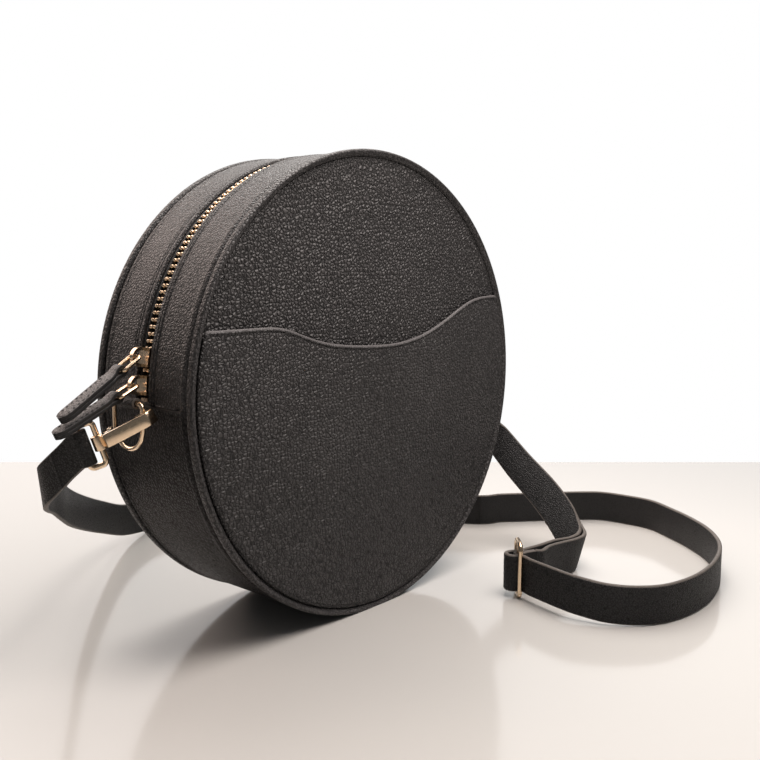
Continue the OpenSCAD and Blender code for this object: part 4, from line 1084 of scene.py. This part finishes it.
class ROUNDBAG_OT_zip(BagPart):
    """Adds the zip's woven tapes with their cords and its rows of teeth"""

    bl_idname = "roundbag.zip"
    bl_label = "Zip"

    def make(self):
        start = SEAM_RIGHT + TEETH_MARGIN
        step = (SEAM_LEFT - SEAM_RIGHT - 2 * TEETH_MARGIN) / TEETH_COUNT
        u = np.radians(np.linspace(0, 360, 16, endpoint=False))
        outline = np.stack([1.25 + 0.9 * np.sign(np.cos(u)) * np.abs(np.cos(u)) ** 0.62,
                            0.82 * np.sign(np.sin(u)) * np.abs(np.sin(u)) ** 0.8], -1)
        heights = np.array([-1.05, -0.9, 0.3, 0.65, 0.9, 1.05, 1.1])
        shrink = np.array([0.85, 1, 1, 0.94, 0.78, 0.5, 0.2])
        centre = outline.mean(0)
        tooth = centre + (outline - centre)[None] * shrink[:, None, None]
        angles = start + (np.arange(TEETH_COUNT) + 0.28) * step
        for side, sign in (("front", 1), ("back", -1)):
            f = np.linspace(2.25, 13.2, 40)
            cord = 0.35 * np.exp(-(((f - 2.8) / 0.5) ** 2))
            outer = np.stack([TAPE_R + 0.28 + cord, f], -1)
            inner = np.stack([TAPE_R - 0.28 - cord, f], -1)[::-1]
            rings = facing(turned(np.vstack([outer, inner]), SEAM_RIGHT, SEAM_LEFT, 260), sign)
            add_piece(f"zip_cloth_{side}", [closed_tube(rings)], material("tape"), "bag",
                      [f"zip_tape_{side}"])
            a = angles[:, None, None] + np.degrees(tooth[..., 1] / TAPE_R)[None]
            co = facing(polar(TAPE_R + heights[None, :, None], a, tooth[None, ..., 0]), sign)
            levels, sides = tooth.shape[:2]
            shape = grid_faces(levels, sides, wrap_v=True).tolist()
            shape += [list(range(sides))[::-1], list(range((levels - 1) * sides, levels * sides))]
            one = co[0].reshape(-1, 3)
            shape = outward(one - one.mean(0), shape)
            faces = [[i + levels * sides * k for i in face] for k in range(TEETH_COUNT) for face in shape]
            add_piece(f"zip_chain_{side}", [(co.reshape(-1, 3), faces, {})], material("teeth"), "bag",
                      [f"zip_teeth_{side}"])
        finish_node("zip_stops", "teeth")


class ROUNDBAG_OT_pulls(BagPart):
    """Adds the sliders' metal and the two stitched leather pulls, each a strip folded round its link"""

    bl_idname = "roundbag.pulls"
    bl_label = "Zip pulls"

    def make(self):
        for which, (angle, slope, length) in PULLS.items():
            for node in (f"slider_{which}", f"bail_{which}", f"link_{which}"):
                finish_node(node, "metal")
            d = math.radians(slope)
            x = np.array([-math.cos(d), 0, -math.sin(d)])
            y = np.array([0.0, 1, 0])
            z = np.array([math.sin(d), 0, -math.cos(d)])
            at = polar(HINGE_R, angle, 0) + LINK_LEN * x
            line = folded(1.62, 0.74, 4.6, length, 40)
            dist = np.clip(line[:, 0], 0, None)
            tip = np.clip((dist - (length - 4.5)) / 4.5, 0, 1)
            neck = np.clip((dist - 1.5) / 5.5, 0, 1)
            width = 5.2 + 2.6 * neck * neck * (3 - 2 * neck)
            width = width * np.sqrt(np.clip(1 - tip**2, 0.0004, 1))
            rows = fold_rows(at, x, z, y, line, width)
            add_piece(f"pull_leather_{which}", [band(rows, 1.42, 0.35)], material("pull_leather"),
                      f"pull_{which}", [f"pull_{which}"])
            run = np.linspace(6.5, length - 2.6, 60)
            forms = []
            for side in (-1, 1):
                for face in (-1, 1):
                    lift = PULL_STITCH_TOP if face < 0 else PULL_STITCH_BELOW
                    row = at + run[:, None] * x + side * PULL_STITCH_OUT * y + face * lift * z
                    forms += stitches(row, np.tile(face * z, (60, 1)), 1.6, 2.5, 0.7)
            add_piece(f"pull_stitches_{which}", forms, material("thread"), f"pull_{which}")


class ROUNDBAG_OT_rings(BagPart):
    """Adds the leather tabs and the metal of the rings, hooks and strap loops"""

    bl_idname = "roundbag.rings"
    bl_label = "Rings and hooks"

    def make(self):
        for side in ("left", "right"):
            for node in (f"d_ring_{side}", f"gate_{side}", f"gate_pin_{side}", f"strap_loop_{side}"):
                finish_node(node, "metal")
            if side == "left":
                forms = hook_forms(axes(LEFT_DIP, LEFT_YAW), axes(LEFT_LOOP_DIP, LEFT_YAW), TAIL_LEFT)
            else:
                forms = hook_forms(axes(RIGHT_DIP, RIGHT_YAW), axes(RIGHT_DIP, RIGHT_YAW), TAIL_RIGHT)
            add_piece(f"hook_metal_{side}", forms, material("metal"), f"hook_{side}", [f"hook_{side}"])
            sign = -1 if side == "left" else 1
            bar = np.array([TAB_BAR[side][0], 0, TAB_BAR[side][1]])
            x = np.array([-sign * math.cos(TAB_SLOPE), 0, -math.sin(TAB_SLOPE)])
            z = np.array([-sign * math.sin(TAB_SLOPE), 0, math.cos(TAB_SLOPE)])
            line = folded(1.7, 0.62, 4.0, 8.4, 16)
            rows = fold_rows(bar, x, z, [0.0, 1, 0], line, TAB_W)
            add_piece(f"tab_leather_{side}", [band(rows, 1.15, 0.35)], material("strap_leather"), "bag",
                      [f"tab_{side}"])


class ROUNDBAG_OT_strap(BagPart):
    """Adds the strap: both folded ends, the run over the table, and the doubled part at the adjuster"""

    bl_idname = "roundbag.strap"
    bl_label = "Strap"

    def make(self):
        made_of, slot = material("strap_leather"), "strap_leather"
        drop = drop_route()
        stitched = 2 * ROUTE_STEPS - 2
        outer = drop.part(0, stitched + 1)
        share = np.clip(1 - np.arange(stitched + 1) / ROUTE_STEPS, 0, None)
        off = -(TURN_T + PLY_GAP) - share * (2 * FOLD_MID - TURN_T - PLY_GAP)
        inner_points = outer.points + outer.normals * off[:, None]
        loop_axes = axes(LEFT_LOOP_DIP, LEFT_YAW)
        x, z = loop_axes[0], loop_axes[2]
        along, out = spun(loop_axes, LEFT_FOLD)[:2]
        bar = TAIL_LEFT + LOOP_DEPTH * x
        t = np.radians(np.linspace(262, 98, 20))
        arc = bar + FOLD_MID * (np.cos(t)[:, None] * along + np.sin(t)[:, None] * out)
        points = np.vstack([inner_points[::-1], arc, outer.points])
        sides = np.vstack([outer.sides[::-1], np.tile(z, (20, 1)), outer.sides])
        widths = np.concatenate([outer.widths[::-1], np.full(20, END_W), outer.widths])
        add_piece("strap_fold_left", [band(Rows(points, sides, widths), TURN_T)], made_of, "loop_left",
                  ["strap_end_left"])
        rest = drop.part(stitched, None)
        thick = STRAP_T - (STRAP_T - TURN_T) * np.clip(1 - np.arange(len(rest.points)) / 12, 0, 1)
        piece = add_piece("strap_leather_drop", [band(rest, thick)], made_of,
                          replaces=["strap_drop"])
        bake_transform(piece)
        for where, route in (("behind", behind_route()), ("front", front_route())):
            add_piece(f"strap_leather_{where}", [band(route, STRAP_T)], made_of, "bag",
                      [f"strap_{where}"])
        for which in ("outer", "inner"):
            route = riser_route(which == "outer")
            layer = band(route, STRAP_T, inside=float(which == "inner"))
            piece = add_piece(f"strap_riser_{which}", [layer], made_of,
                              replaces=[f"riser_{which}"])
            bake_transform(piece)
        x, y, z = axes(RIGHT_DIP, RIGHT_YAW)
        line = folded(FOLD_MID, FOLD_MID, 1.0, PLY_START + JOINT_GAP, 20)
        rows = fold_rows(TAIL_RIGHT + LOOP_DEPTH * x, x, y, z, line, END_W)
        add_piece("strap_fold_right", [band(rows, TURN_T)], made_of, "loop_right",
                  ["strap_end_right"])


class ROUNDBAG_OT_adjuster(BagPart):
    """Adds the adjuster's metal and the strap's end, folded round its middle bar"""

    bl_idname = "roundbag.adjuster"
    bl_label = "Adjuster"

    def make(self):
        for node in ("adjuster_frame", "adjuster_bar"):
            finish_node(node, "metal")
        a = math.radians(FRAME_TURN - 90 + TAIL_TURN)
        x, y = np.array([math.cos(a), math.sin(a), 0]), np.array([-math.sin(a), math.cos(a), 0])
        line = folded(1.05 + TAIL_T / 2, 0.8, 5.1, 9.8, 16)
        at = ADJUSTER_AT + np.array([0, 0, FRAME_STRAP_Z])
        rows = fold_rows(at, x, y, UP, line, STRAP_W)
        add_piece("strap_leather_tail", [band(rows, TAIL_T)], material("strap_leather"), "adjuster",
                  ["strap_tail"])


class ROUNDBAG_OT_inside(BagPart):
    """Adds the cloth lining inside the bag and finishes the stiffening boards"""

    bl_idname = "roundbag.inside"
    bl_label = "Lining and boards"

    def make(self):
        for node in ("front_board", "back_board", "base_board"):
            finish_node(node, "board")
        forms = []
        for sign in (1, -1):
            r = np.array([0.05, 40, 80, 100, 106, 106, 60, 0.05])
            f = np.array([28.7] * 5 + [28.3] * 3)
            rings = facing(turned(np.stack([r, f], -1), 0, 360, 120, closed=True), sign)
            forms.append(closed_tube(rings.transpose(1, 0, 2)))
        f = np.linspace(-28.1, 28.1, 20)
        waves = 0.03 * np.sin(f * 0.5)
        outer, inner = np.stack([106.2 + 0 * f, f], -1), np.stack([105.8 + waves, f], -1)[::-1]
        forms.append(closed_tube(turned(np.vstack([outer, inner]), SEAM_LEFT, SEAM_RIGHT + 360, 160)))
        for sign in (1, -1):
            f = np.linspace(14.1, 29.2, 12)
            outer, inner = np.stack([107.6 + 0 * f, f], -1), np.stack([107.2 + 0 * f, f], -1)[::-1]
            rings = turned(np.vstack([outer, inner]), SEAM_RIGHT, SEAM_LEFT, 160)
            forms.append(closed_tube(facing(rings, sign)))
        linings = ["front_lining", "back_lining", "base_lining", "zip_lining_front", "zip_lining_back"]
        add_piece("lining_cloth", forms, material("lining"), "bag", linings)


class ROUNDBAG_OT_stage(BagPart):
    """Adds the floor, the studio light and the camera"""

    bl_idname = "roundbag.stage"
    bl_label = "Stage"

    def make(self):
        scene = bpy.context.scene
        ahead = Vector(AHEAD)
        bpy.ops.mesh.primitive_grid_add(x_subdivisions=4, y_subdivisions=4, size=FLOOR_SIZE)
        floor = bpy.context.object
        floor.name = "floor"
        middle = Vector(CAMERA_AT) + ahead * (FLOOR_REACH - FLOOR_SIZE / 2)
        floor.location = (middle.x, middle.y, FLOOR_Z)
        floor.rotation_euler = (0, 0, math.atan2(ahead.y, ahead.x))
        n = Nodes("pale_floor")
        n.finish(tuple(colours().floor), 0.12, Specular_IOR_Level=0.9)
        floor.data.materials.append(n.material)
        bpy.ops.mesh.primitive_plane_add(size=1)
        wall = bpy.context.object
        wall.name = "white_wall"
        wall.scale = WALL_SIZE
        wall.location = ahead * WALL_AHEAD + Vector((0, 0, WALL_Z))
        wall.rotation_mode = "QUATERNION"
        wall.rotation_quaternion = ahead.to_track_quat("Z", "Y")
        n = Nodes("white_wall")
        glow = n.add("Emission", None, Color=(1.0, 1.0, 1.0), Strength=1.0)
        n.link(glow.outputs[0], n.out.inputs[0])
        wall.data.materials.append(n.material)
        world = bpy.data.worlds.new("studio")
        scene.world = world
        world.use_nodes = True
        tree = world.node_tree
        tree.nodes.clear()
        out = tree.nodes.new("ShaderNodeOutputWorld")
        mix = tree.nodes.new("ShaderNodeMixShader")
        seen = tree.nodes.new("ShaderNodeBackground")
        seen.inputs["Color"].default_value = (1, 1, 1, 1)
        room = tree.nodes.new("ShaderNodeBackground")
        room.inputs["Color"].default_value = ROOM_COLOUR
        room.inputs["Strength"].default_value = ROOM_STRENGTH
        path = tree.nodes.new("ShaderNodeLightPath")
        tree.links.new(path.outputs["Is Camera Ray"], mix.inputs[0])
        tree.links.new(room.outputs[0], mix.inputs[1])
        tree.links.new(seen.outputs[0], mix.inputs[2])
        tree.links.new(mix.outputs[0], out.inputs[0])
        for name, at, size, power, tint in LAMPS:
            data = bpy.data.lights.new(name, "AREA")
            data.size, data.energy, data.color = size, power, tint
            lamp = bpy.data.objects.new(name, data)
            scene.collection.objects.link(lamp)
            lamp.location = at
            lamp.rotation_mode = "QUATERNION"
            lamp.rotation_quaternion = (Vector(LAMP_AIM) - Vector(at)).to_track_quat("-Z", "Y")
        data = bpy.data.cameras.new("camera")
        data.lens, data.sensor_width = CAMERA_LENS, 36.0
        data.clip_start, data.clip_end = 0.01, 20
        camera = bpy.data.objects.new("camera", data)
        scene.collection.objects.link(camera)
        turn = Matrix(CAMERA_AXES).transposed()
        camera.matrix_world = Matrix.Translation(CAMERA_AT) @ turn.to_4x4()
        scene.camera = camera
        scene.view_settings.view_transform = "Standard"


PARTS = (
    ROUNDBAG_OT_stage, ROUNDBAG_OT_panels, ROUNDBAG_OT_pocket, ROUNDBAG_OT_rims, ROUNDBAG_OT_gussets,
    ROUNDBAG_OT_zip, ROUNDBAG_OT_pulls, ROUNDBAG_OT_rings, ROUNDBAG_OT_strap, ROUNDBAG_OT_adjuster,
    ROUNDBAG_OT_inside,
)


class ROUNDBAG_PT_parts(bpy.types.Panel):
    """Lists the bag's sizes, colours and parts"""

    bl_label = "Round Bag"
    bl_idname = "ROUNDBAG_PT_parts"
    bl_space_type = "VIEW_3D"
    bl_region_type = "UI"
    bl_category = "Round Bag"

    def draw(self, context):
        for group in (context.scene.round_bag_sizes, context.scene.round_bag_colours):
            box = self.layout.box()
            for key in group.__annotations__:
                box.prop(group, key)
        for part in PARTS:
            self.layout.operator(part.bl_idname)


CLASSES = (RoundBagSizes, RoundBagColours, *PARTS, ROUNDBAG_PT_parts)


def register():
    for cls in CLASSES:
        bpy.utils.register_class(cls)
    bpy.types.Scene.round_bag_sizes = bpy.props.PointerProperty(type=RoundBagSizes)
    bpy.types.Scene.round_bag_colours = bpy.props.PointerProperty(type=RoundBagColours)


def unregister():
    del bpy.types.Scene.round_bag_sizes
    del bpy.types.Scene.round_bag_colours
    for cls in reversed(CLASSES):
        bpy.utils.unregister_class(cls)


def main():
    """Builds the whole bag."""
    register()
    for part in PARTS:
        group, name = part.bl_idname.split(".")
        getattr(getattr(bpy.ops, group), name)()


if __name__ == "__main__":
    main()
